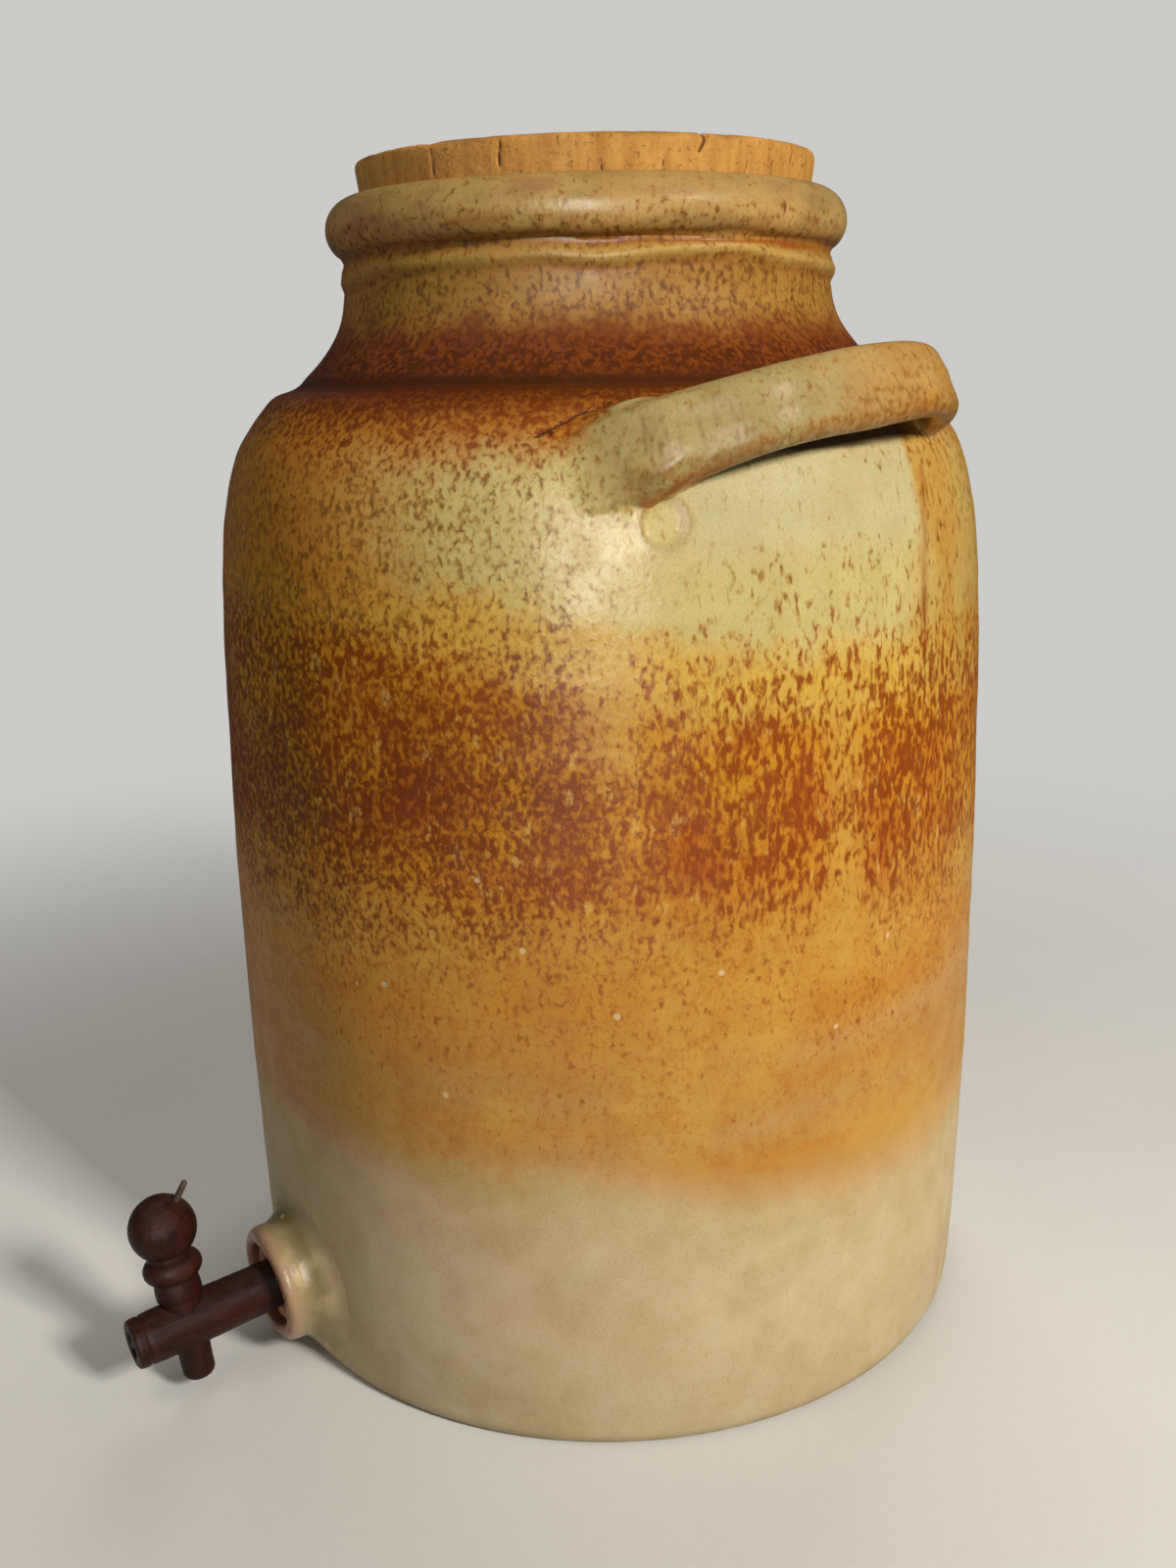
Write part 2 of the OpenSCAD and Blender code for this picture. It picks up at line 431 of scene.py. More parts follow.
def strap_coords(P):
    """d: offset outwards from the strap's middle; q: along the strap from the middle of the grip; z: across it; u: past its tap-side leg."""
    c, s = math.cos(math.radians(S_TURN)), math.sin(math.radians(S_TURN))
    x, y, z = P[:, 0] * c - P[:, 1] * s, P[:, 0] * s + P[:, 1] * c, P[:, 2]
    x, z = x - 0.8 * BODY_R, z - S_Z
    c, s = math.cos(math.radians(S_TILT)), math.sin(math.radians(S_TILT))
    x, z = x * c + z * s, -x * s + z * c
    c, s = math.cos(math.radians(S_ROLL)), math.sin(math.radians(S_ROLL))
    y, z = y * c + z * s, -y * s + z * c
    ay = np.abs(y)
    bend = np.where(y < 0, 37.0, 26.0)                 # the tap-side end leaves the wall more gently
    cx, cy = S_REACH - bend, S_HALF - bend
    ex, ey = x - cx, ay - cy
    d = np.where(ay <= cy, x - S_REACH, np.where(x <= cx, ay - S_HALF, np.hypot(ex, ey) - bend))
    q_bend = cy + bend * np.arctan2(np.maximum(ey, 0), np.maximum(ex, 1e-9))
    q = np.where(ay <= cy, ay, np.where(x <= cx, cy + bend * math.pi / 2 + (cx - x), q_bend))
    return d, q * np.where(y < 0, -1, 1), z, -y - S_HALF


def strap(d, q, z):
    """Distance to the pulled strap: wider and thicker towards its roots, most at the end near the tap."""
    near = smoothstep(30, 66, np.abs(q))
    tapward = smoothstep(10, -10, q)
    half_w = S_W / 2 - 0.5 + 0.3 * np.sin(q * 0.11 + 0.6) + near * (0.7 + 0.3 * tapward)
    half_t = S_T / 2 - 0.1 + near * (0.5 + 0.4 * tapward)
    zc = z - 0.45 * np.sin(q * 0.06 + 1.0) - near * tapward * 0.3
    u = zc / half_w
    mid = d + 1.0 * (u + 0.3) ** 2 - 0.30 + 0.10 * np.cos(u * 8.0 + 0.04 * q) * smoothstep(0, 3, d)
    rr = half_t * 0.94
    a = np.abs(mid) - (half_t - rr)
    b = np.abs(zc) - (half_w - rr)
    return np.hypot(np.maximum(a, 0), np.maximum(b, 0)) + np.minimum(np.maximum(a, b), 0) - rr


def hook(u):
    """Where the lower edge of the strap's tap-side end runs: it dips as it meets the wall."""
    return -11.6 - 2.6 * np.exp(-((u - 2.5) / 4.0) ** 2)


def smear(u, z):
    """How thick the strap's tap-side end is thumbed out over the wall: crisp above, lost below and beyond."""
    reach = 17.5 - 0.24 * np.clip(z, -14, 12)
    h = 6.2 * smoothstep(reach, reach - 20, u) * smoothstep(-17, -1, u)
    blend = smoothstep(4.0, 9.5, u)
    low = (1 - blend) * (0.25 * smoothstep(-0.9, 0.9, z - hook(u)) + 0.75 * smoothstep(0.0, 7.0, z - hook(u))) + blend * smoothstep(-21, -2, z) ** 1.6
    return h * low * smoothstep(14.8, 12.4, z + 0.12 * np.maximum(u, 0))


def handle_field(P):
    w = wall(P) - relief(P)
    d, q, z, u = strap_coords(P)
    part = strap(d, q, z) + 0.2 * fbm(P, 21, 2, 5) + 0.06 * strokes(q, z) * smoothstep(0, 2, d)
    # a crevice along the lower edge, a soft throat at the outer side
    out = smoothstep(-3, 4, d) * smoothstep(12.5, 8.5, z) * smoothstep(-11.5, -7.5, z + 3.5 * smoothstep(-12, -2, u))
    return luted(part, w, 2.0 + (5.0 + 9.0 * (q < 0)) * out, smear(u, z) * (1 + 0.15 * fbm(P, 9, 2, 19)))


# ---------------------------------------------------------------- tap frame
LIP_Y, TAP_Z, DROOP, TROLL, KEY_AT = BODY_R + 11, 26.5, 5.0, -11.0, 26.6
TAP = (Matrix.Translation((0, -LIP_Y, TAP_Z)) @ Matrix.Rotation(math.radians(DROOP), 4, "X")
       @ Matrix.Rotation(math.radians(TROLL), 4, "Y"))
BARREL = TAP @ Matrix.Rotation(math.radians(90), 4, "X")
KEY = TAP @ Matrix.Translation((0, -KEY_AT, 0))
PEG = (KEY @ Matrix.Translation((0, 0, 32)) @ Matrix.Rotation(math.radians(56), 4, "Z")
       @ Matrix.Rotation(math.radians(38), 4, "Y") @ Matrix.Translation((0, 0, 5)))
BORE_R, LIP_R = 13.8, 19.5


def place(M, P):
    A = np.array(M)
    return np.asarray(P, float) @ A[:3, :3].T + A[:3, 3]


def local(M, P):
    return place(M.inverted(), P)


def boss_field(P):
    w = wall(P) - relief(P)
    L = local(BARREL, P)
    rho, t = np.hypot(L[:, 0], L[:, 1]), L[:, 2]
    ang = np.arctan2(L[:, 1], L[:, 0])
    lip = LIP_R - 0.45 + 0.18 * np.sin(ang * 2 + 0.7) + 0.11 * np.sin(ang * 3 - 1.1)
    lip = lip - 0.8 * smoothstep(-3.8, -7.5, t)
    rr = 3.2
    a, b = rho - (lip - rr), t + rr + 0.30 + 0.15 * np.sin(ang * 2 + 2.0)
    part = np.hypot(np.maximum(a, 0), np.maximum(b, 0)) + np.minimum(np.maximum(a, b), 0) - rr
    f = luted(part + 0.14 * fbm(P, 14, 2, 9), w, 12.5, deep=3.4)
    bore = BORE_R - rho
    k = 1.8                                            # the mouth of the bore is softly rounded
    h = np.maximum(k - np.abs(f - bore), 0) / k
    f = np.maximum(f, bore) + h * h * k * 0.25
    return np.maximum(f, 0.7 - P[:, 2])


# ---------------------------------------------------------------- shader tools
class Nodes:
    def __init__(self, name):
        self.mat = bpy.data.materials.new(name)
        self.mat.use_nodes = True
        self.t = self.mat.node_tree
        self.b = self.t.nodes["Principled BSDF"]

    def new(self, kind, **kw):
        nd = self.t.nodes.new(kind)
        for k, v in kw.items():
            setattr(nd, k, v)
        return nd

    def put(self, sock, v):
        if isinstance(v, bpy.types.NodeSocket):
            self.t.links.new(v, sock)
        else:
            sock.default_value = v

    def scaled(self, vec, scale):
        m = self.new("ShaderNodeMapping")
        self.put(m.inputs["Vector"], vec)
        m.inputs["Scale"].default_value = scale
        return m.outputs["Vector"]

    def coords(self):
        return self.new("ShaderNodeTexCoord").outputs["Object"]

    def attr(self, name, what="Fac"):
        return self.new("ShaderNodeAttribute", attribute_name=name).outputs[what]

    def math(self, op, a, b=0.0, clamp=False):
        m = self.new("ShaderNodeMath", operation=op, use_clamp=clamp)
        self.put(m.inputs[0], a)
        self.put(m.inputs[1], b)
        return m.outputs[0]

    def noise(self, vec, scale, detail=2.0, rough=0.5, distort=0.0):
        m = self.new("ShaderNodeTexNoise")
        self.put(m.inputs["Vector"], vec)
        m.inputs["Scale"].default_value = scale
        m.inputs["Detail"].default_value = detail
        m.inputs["Roughness"].default_value = rough
        m.inputs["Distortion"].default_value = distort
        return m.outputs["Fac"]

    def voronoi(self, vec, scale, feature="F1"):
        m = self.new("ShaderNodeTexVoronoi", feature=feature)
        self.put(m.inputs["Vector"], vec)
        m.inputs["Scale"].default_value = scale
        return m

    def red(self, colour):
        s = self.new("ShaderNodeSeparateColor")
        self.put(s.inputs[0], colour)
        return s.outputs[0]

    def range(self, v, a, b, c=0.0, d=1.0, smooth=True):
        m = self.new("ShaderNodeMapRange", interpolation_type="SMOOTHSTEP" if smooth else "LINEAR")
        for name, x in (("Value", v), ("From Min", a), ("From Max", b), ("To Min", c), ("To Max", d)):
            self.put(m.inputs[name], x)
        return m.outputs["Result"]

    def blend(self, fac, a, b):
        m = self.new("ShaderNodeMix", data_type="FLOAT")
        for s, x in ((m.inputs[0], fac), (m.inputs[2], a), (m.inputs[3], b)):
            self.put(s, x)
        return m.outputs[0]

    def mix(self, fac, a, b, how="MIX"):
        m = self.new("ShaderNodeMix", data_type="RGBA", blend_type=how)
        self.put(m.inputs[0], fac)
        for s, v in ((m.inputs[6], a), (m.inputs[7], b)):
            self.put(s, v if isinstance(v, bpy.types.NodeSocket) else (*v, 1.0))
        return m.outputs[2]

    def bump(self, height, strength, distance, normal=None):
        m = self.new("ShaderNodeBump")
        m.inputs["Strength"].default_value = strength
        m.inputs["Distance"].default_value = distance
        self.put(m.inputs["Height"], height)
        if normal is not None:
            self.put(m.inputs["Normal"], normal)
        return m.outputs["Normal"]


# ---------------------------------------------------------------- salt-glazed stoneware
BEIGE = np.array([0.55, 0.452, 0.270])
BLUSH = np.array([0.545, 0.405, 0.240])
OLIVE = np.array([0.45, 0.36, 0.165])
TAN = np.array([0.485, 0.255, 0.052])
AMBER = np.array([0.54, 0.245, 0.024])
OCHRE = np.array([0.59, 0.290, 0.022])
HONEY = np.array([0.57, 0.330, 0.055])
YELLOW = np.array([0.61, 0.400, 0.070])
CREAM = np.array([0.575, 0.478, 0.195])
ORANGE = np.array([0.43, 0.185, 0.022])
NECK = np.array([0.375, 0.208, 0.038])
RIM = np.array([0.49, 0.325, 0.110])
BAND = np.array([0.20, 0.054, 0.008])
BROWN = np.array([0.135, 0.026, 0.002])
SPECK = np.array([0.190, 0.085, 0.014])
RED = np.array([0.240, 0.040, 0.002])
DARK = np.array([0.045, 0.012, 0.002])
STRAP = np.array([0.42, 0.325, 0.135])
RUST = np.array([0.30, 0.095, 0.013])
RED_PATCHES = [(109, 194, 11), (74, 227, 8), (86, 202, 14), (66, 190, 12), (30, 205, 13), (97, 176, 9), (160, 205, 14),
               (205, 195, 16), (250, 212, 13), (300, 200, 15), (-15, 198, 12)]
HONEY_RUNS = [[(88, 222), (88.5, 196), (88, 150)], [(57, 236), (57.5, 214)], [(150, 215), (150, 160)], [(228, 220), (229, 168)],
              [(-40, 214), (-40, 165)]]
TEETH = [[(56.4, 299.0), (54.6, 296.4), (54.2, 294.0)], [(58.2, 296.4), (57.0, 294.2)], [(57.5, 290.6), (56.8, 287.4)],
         [(52.4, 293.0), (51.2, 290.0)]]


def strokes(q, across):
    """Fine scratches that the potter's fingers left across the root of the strap."""
    rng = np.random.RandomState(41)
    out = np.zeros(len(q))
    for _ in range(22):
        q0, c0, half, lean_q = rng.uniform(-60, -14), rng.uniform(-6, 3), rng.uniform(1.5, 4.2), rng.uniform(-0.05, 0.25)
        x, y = q - q0 - lean_q * (across - c0), np.maximum(np.abs(across - c0) - half, 0)
        out = np.maximum(out, np.exp(-(x / 0.38) ** 2 - (y / 0.8) ** 2) * rng.uniform(0.3, 1.0))
    return out


def stoneware(ob, kind):
    """Writes what the glaze is like at each vertex: ground and fleck colours, how thick the flecks lie, gloss."""
    P = points_mm(ob)
    z, az, n = P[:, 2], azimuth(P), len(P)
    big, mid, small = fbm(P, 70, 3, 11), fbm(P, 26, 3, 23), fbm(P, 9, 2, 37)
    zw = z + 5.0 * big + 3.0 * mid + 1.6 * small
    side = np.cos(np.radians(az - 112))                # 1 where the glaze ran thick and red, -1 across from it
    brown_side = smoothstep(0.40, -0.30, side)

    base = np.tile(BEIGE, (n, 1))
    base = over(base, BLUSH, 0.75 * smoothstep(-0.15, 0.35, fbm(P, 48, 3, 41)))
    base = over(base, OLIVE, 0.40 * smoothstep(0.08, 0.45, fbm(P, 34, 3, 43)))
    edge = 91 - 14 * smoothstep(0.5, 1.0, side) + 4.5 * big + 2.4 * mid + 2.4 * small
    up = np.tile(TAN, (n, 1))
    up = over(up, AMBER, smoothstep(112, 150, zw))
    rings = fbm(np.stack([0.10 * P[:, 0], 0.10 * P[:, 1], z], 1), 11.0, 3, 97)
    up = over(up, AMBER * np.array([0.94, 0.88, 0.8]), 0.65 * smoothstep(-0.05, 0.45, rings) * smoothstep(165, 150, zw))
    up = over(up, BLUSH * 0.95, 0.18 * smoothstep(0.05, 0.5, -rings) * smoothstep(150, 120, zw))
    up = over(up, HONEY, 0.55 * smoothstep(-0.1, 0.4, fbm(P, 30, 3, 47, stretch=(1, 1, 1.8))) + 0.35 * hill(z, 160, 12))
    up = over(up, OCHRE, smoothstep(166, 184, zw))
    k = math.radians(1) * 122
    for a0, z0, r0 in RED_PATCHES:
        x, y = ((az - a0 + 180) % 360 - 180) * k, (z - z0) * 0.85
        up = over(up, RED * 1.75, 0.75 * np.exp(-(x * x + y * y) / r0 ** 2) * smoothstep(-0.5, 0.2, mid))
    cloud = smoothstep(-0.15, 0.40, fbm(P, 40, 3, 67, stretch=(1.2, 1.2, 0.75))) * smoothstep(168, 182, zw) * smoothstep(226, 206, zw)
    up = over(up, RED * 1.6, 0.50 * cloud)
    run = np.zeros(n)
    for line in HONEY_RUNS:
        run = np.maximum(run, track(az + 1.2 * small, z, line, 7.5))
    up = over(up, HONEY, 0.75 * run)
    left = smoothstep(48, 14, az) * smoothstep(-110, -60, az)
    ground = smoothstep(176, 190, zw) * smoothstep(246, 226, zw) * smoothstep(84, 60, az) * smoothstep(-120, -60, az)
    up = over(up, np.array([0.37, 0.145, 0.016]), 0.55 * ground * smoothstep(-0.5, 0.3, big + mid))
    cream_at = 245 - 17 * smoothstep(0.3, 0.95, side) + 10 * left + 6 * mid + 4 * small
    up = over(up, YELLOW, smoothstep(-16, -2, z - cream_at) * (1 - 0.6 * brown_side))
    up = over(up, CREAM, smoothstep(2, 17, z - cream_at) * (1 - 0.8 * brown_side))
    up = over(up, ORANGE * 1.18, 0.85 * brown_side * smoothstep(236, 268, zw))
    up = over(up, ORANGE, smoothstep(284, 299, zw + 4 * small))
    up = over(up, BAND, smoothstep(297, 307, zw))
    up = over(up, NECK, smoothstep(317, 331, zw + 3 * small))
    up = over(up, RIM, smoothstep(344, 350, z))
    base = over(base, TAN, 0.28 * smoothstep(-36, 0, z - edge + 5 * mid))
    base = over(base, up, smoothstep(-10, 12, z - edge + 3 * small))

    fleck = np.tile(BROWN, (n, 1))
    fleck = over(fleck, RED, smoothstep(-0.2, 0.5, 0.5 * side + 0.5 * fbm(P, 40, 2, 53)))
    fleck = over(fleck, RUST, 0.6 * smoothstep(172, 150, z))
    fleck = over(fleck, SPECK, smoothstep(238, 254, z) * smoothstep(294, 280, z))
    fleck = over(fleck, DARK, 0.9 * smoothstep(297, 309, z) * smoothstep(328, 314, z))
    fleck = over(fleck, np.array([0.13, 0.048, 0.010]), smoothstep(318, 328, z))

    # the share of the surface that flecks cover, by height
    cover = np.interp(zw, [86, 100, 130, 150, 162, 174, 190, 208, 226, 238, 247, 257, 270, 284, 293, 302, 312, 323, 334,
                           343, 350, 356, 362],
                      [-0.70, -0.05, 0.10, 0.20, 0.36, 0.52, 0.61, 0.61, 0.56, 0.46, 0.33, 0.20, 0.15, 0.22, 0.36, 0.60,
                       0.64, 0.44, 0.34, 0.40, 0.26, 0.10, 0.05])
    cover = cover + 0.10 * mid + 0.07 * big - 0.30 * run + 0.08 * cloud + 0.15 * brown_side * hill(z, 268, 20)
    cover = cover - 0.22 * smoothstep(0.3, 0.95, side) * hill(z, 244, 15)
    cover = cover + left * (0.03 * hill(z, 205, 30) + 0.20 * hill(z, 241, 11)) + 0.12 * smoothstep(64, 52, az) * smoothstep(-60, -20, az) * hill(z, 272, 20)
    wet = np.interp(z, [40, 90, 105, 170, 250, 300, 312, 318, 338, 344, 360],
                    [0.0, 0.10, 0.40, 0.72, 1.0, 0.85, 0.75, 0.5, 0.5, 0.85, 0.9])
    drip = 0.25 + 0.75 * smoothstep(0.45, 0.9, side) * smoothstep(150, 175, z) * smoothstep(300, 270, z)

    if kind == "body":
        wave = under_rim(az)
        # dark band on the bead's lower half: brown flecks and painted shade under the bead
        base = over(base, BAND * 1.15, 0.28 * hill(z, 345.6 + 0.6 * wave, 2.6) * smoothstep(-0.55, 0.05, small + 0.35 * mid + 0.2))
        bead = smoothstep(343.5, 346, z)
        streaks = fbm(np.stack([P[:, 0], P[:, 1], 3.2 * z], 1), 30, 4, 51)
        base = over(base, np.array([0.36, 0.185, 0.085]), 0.75 * bead * smoothstep(-0.05, 0.40, streaks))
        base = over(base, np.array([0.30, 0.205, 0.075]), 0.65 * bead * smoothstep(0.05, 0.45, -streaks))
        base = over(base, BAND * 1.2, 0.5 * bead * hill(z, 349.5 + 2.5 * mid, 1.6) * smoothstep(-0.1, 0.4, small + mid))
        # pale line along the ridge under the rim: partly the glaze's colour, partly a painted highlight
        crisp = 0.35 + 0.65 * smoothstep(30, 62, az) * smoothstep(150, 110, az)
        base = over(base, np.array([0.56, 0.40, 0.12]), 0.62 * crisp * hill(z, 340.0 + wave, 1.7))
        base = over(base, BAND * 1.3, 0.50 * crisp * hill(z, 336.5 + wave, 0.9))
        cover = cover - 0.25 * hill(z, 340.0 + wave, 2.0)
        # painted light: the rim bead's lower half is lightened and its top darkened
        base = base * (1 + bead * (0.18 * smoothstep(354, 347, z) - 0.14 * smoothstep(352, 358, z)))[:, None]
        # the tooled groove at the foot of the neck: a thin dark line and a soft dark band, partly the band's dark glaze
        # and partly painted shade in the groove
        base = over(base, DARK, 0.60 * hill(z, 307.8 + 0.8 * np.sin(np.radians(2 * az) + 0.2), 1.4))
        base = over(base, DARK, 0.70 * hill(z, 307.4 + 0.8 * np.sin(np.radians(2 * az) + 0.2) + 0.4 * mid, 2.4))
        for line in TEETH:
            base = over(base, RUST * 0.6, 0.5 * track(az + 0.5 * small, z, line, 0.9))
        soft = 0.7 + 7.0 * smoothstep(280, 242, z)
        amber = smoothstep(104.1 - soft, 104.1 + soft, az + 0.5 * small + 2.5 * mid * smoothstep(280, 250, z))
        amber = amber * smoothstep(160, 130, az) * smoothstep(206, 236, z) * smoothstep(300, 286, z)
        tint = over(np.tile(HONEY * np.array([0.92, 0.85, 0.75]), (n, 1)), YELLOW * np.array([0.88, 0.90, 1.15]), smoothstep(-0.3, 0.3, fbm(P, 16, 3, 59, stretch=(1, 1, 3.0))))
        base = over(base, tint, 0.85 * amber)
        base = over(base, RUST, 0.75 * track(az + 0.5 * small, z, DRIP, 1.1))
        base = over(base, RUST, 0.85 * track(az, z, [(104.2, 248.0), (104.1, 245.5)], 1.9))
        shade = np.zeros(n)                            # paler under the straps, where the salt did not reach
        for turn in (1, -1):
            a0 = az * turn
            far = smoothstep(104.1 + soft, 104.1 - soft, a0) if turn > 0 else smoothstep(114, 96, a0)
            shade = np.maximum(shade, (1.0 if turn > 0 else 0.6) * smoothstep(60, 70, a0) * far
                               * smoothstep(256, 272, z) * smoothstep(303, 294, z))
        base = over(base, CREAM * np.array([0.925, 0.995, 1.33]), 0.9 * shade)
        cover = cover - 0.25 * shade
        Q = P.copy()                                   # painted shade on the wall behind and under the straps, dark where their shadow falls
        Q[:, 0] = np.abs(Q[:, 0])
        d, q, across, _ = strap_coords(Q)
        low = -9.0 - 3.2 * smoothstep(-28, 18, q) + 0.5 * small
        strap_shadow = smoothstep(low - 1.0, low + 0.8, across) * smoothstep(15, 9, across) * smoothstep(0, -3, d)
        strap_shadow = strap_shadow * smoothstep(-56, -36, q) * smoothstep(62, 44, q) * (np.abs(P[:, 0]) > 80) * (wall(P) > -2)
        # painted shade: darkens the wall just under the strap's lower edge
        base = over(base, np.array([0.085, 0.048, 0.024]), 0.88 * strap_shadow)
        ring = np.hypot((az - THUMB[0]) * math.radians(1) * 118, z - THUMB[1]) - THUMB[2]
        base = over(base, CREAM, 0.7 * smoothstep(0, -1.5, ring))
        base = over(base, np.array([0.36, 0.205, 0.055]), 0.70 * hill(ring, 0.5, 1.0) * smoothstep(-0.5, 0.3, small + 0.1))
        base = over(base, RUST * 0.8, 0.9 * track(az, z, [(61.0, 277.6), (61.6, 280.0), (62.8, 282.4)], 1.25))
        inside = (wall(P) < -3.0) & (z < 344)
        base = np.where(inside[:, None], over(np.tile(BAND * 1.6, (n, 1)), ORANGE * 0.8, smoothstep(-0.3, 0.3, mid)), base)
        cover = np.where(inside, 0.3, cover)
        under = z < 0.6
        base = np.where(under[:, None], BEIGE * 0.92, base)
        wet = np.where(under, 0.0, wet)
        base = base * (1 - 0.11 * smoothstep(46, 8, z) - 0.20 * smoothstep(6, 0, z))[:, None]
    elif kind == "handle":
        Q = P.copy()
        Q[:, 0] = np.abs(Q[:, 0])
        d, q, across, u = strap_coords(Q)
        on = smoothstep(0.9, 5.0, wall(P) + 0.8 * small)
        # painted light: the strap's tap-side end, which turns away from the key light, is lighter than its grip
        col = STRAP * (1.20 - 0.32 * smoothstep(-64, -26, q))[:, None]
        col = over(col, CREAM * 0.85, 0.28 * smoothstep(-0.2, 0.4, mid))
        col = over(col, np.array([0.455, 0.245, 0.050]), 0.75 * smoothstep(-22, 22, q + 8 * mid) + 0.2 * smoothstep(0, 0.5, small))
        col = over(col, OLIVE, 0.30 * smoothstep(0.0, 0.5, fbm(P, 18, 2, 61)))
        base = over(base, col, on)
        low = smoothstep(-4, -9.5, across) * on
        cover = cover * (1 - on) + on * (0.13 + 0.12 * mid + 0.14 * smoothstep(-20, 10, q) * smoothstep(3, -3, across) + 0.22 * low)
        fleck = over(fleck, np.array([0.24, 0.105, 0.020]), on)
        crevice = smoothstep(4.5, 0.8, wall(P)) * smoothstep(1.5, -2.0, d) * on
        tail = hill(across - hook(u), 0.2, 1.3) * smoothstep(-18, -8, u) * smoothstep(7.0, 4.0, u)
        base = over(base, RUST, 0.40 * low * smoothstep(-0.3, 0.2, small))
        base = over(base, RUST * 0.8, 0.65 * crevice)
        base = over(base, RUST * 1.25, 0.85 * tail)
        # painted shade on the strap's inner face, towards the wall
        base = over(base, np.array([0.12, 0.065, 0.030]), 0.6 * smoothstep(-1.5, -4.0, d) * smoothstep(-10.5, -7.5, across) * on)
        base = over(base, SPECK, 0.50 * strokes(q, across) * on)
        wet = np.full(n, 0.95)
    elif kind == "boss":
        L = local(BARREL, P)
        rho, t = np.hypot(L[:, 0], L[:, 1]), L[:, 2]
        # olive on the boss's flare: partly the glaze's colour, partly painted shade
        base = over(base, np.array([0.235, 0.185, 0.083]), 0.85 * smoothstep(-18, -11, t) * smoothstep(0, 10, wall(P) + 6) * smoothstep(-0.7, 0.2, mid + small))
        base = over(base, np.array([0.42, 0.265, 0.165]), 0.85 * smoothstep(-6.5, -2.0, t + small))
        rings = 0.5 + 0.5 * np.sin(rho * 3.1 + 0.8 * small)
        base = over(base, np.array([0.30, 0.115, 0.060]),
                    smoothstep(-2.2, -0.8, t) * (0.35 + 0.6 * rings) * smoothstep(18.6, 16.8, rho))
        base = over(base, np.array([0.40, 0.165, 0.095]), 0.9 * smoothstep(BORE_R + 1.2, BORE_R + 0.2, rho))
        # painted shade: the boss's flare is darkened where it stands off the wall
        base = base * (1 - np.outer(smoothstep(-6, -11, t) * smoothstep(0.2, 4, wall(P)), (0.26, 0.26, 0.38)))
        cover = np.full(n, -0.6)
        wet = np.where(t > -12, 1.0, wet)

    base = base * (1 + 0.06 * small + 0.05 * big)[:, None]
    put(ob, "base", np.clip(base, 0, 1))
    put(ob, "fleck", np.clip(fleck, 0, 1))
    put(ob, "cover", np.clip(cover, -1, 0.85))
    put(ob, "wet", np.clip(wet, 0, 1))
    put(ob, "drip", np.clip(drip, 0, 1))
    for name, line in (("rift_a", CRACK_A), ("rift_b", CRACK_B)):
        a, h = np.array(line[::-1]).T                  # height above a crack in mm, and where it runs
        on = smoothstep(a[0] - 1.0, a[0] + 1.0, az) * smoothstep(a[-1] + 1.0, a[-1] - 1.0, az)
        put(ob, name, z - np.interp(az, a, h) if kind == "body" else np.full(n, 50.0))
        put(ob, name + "_on", on if kind == "body" else np.zeros(n))


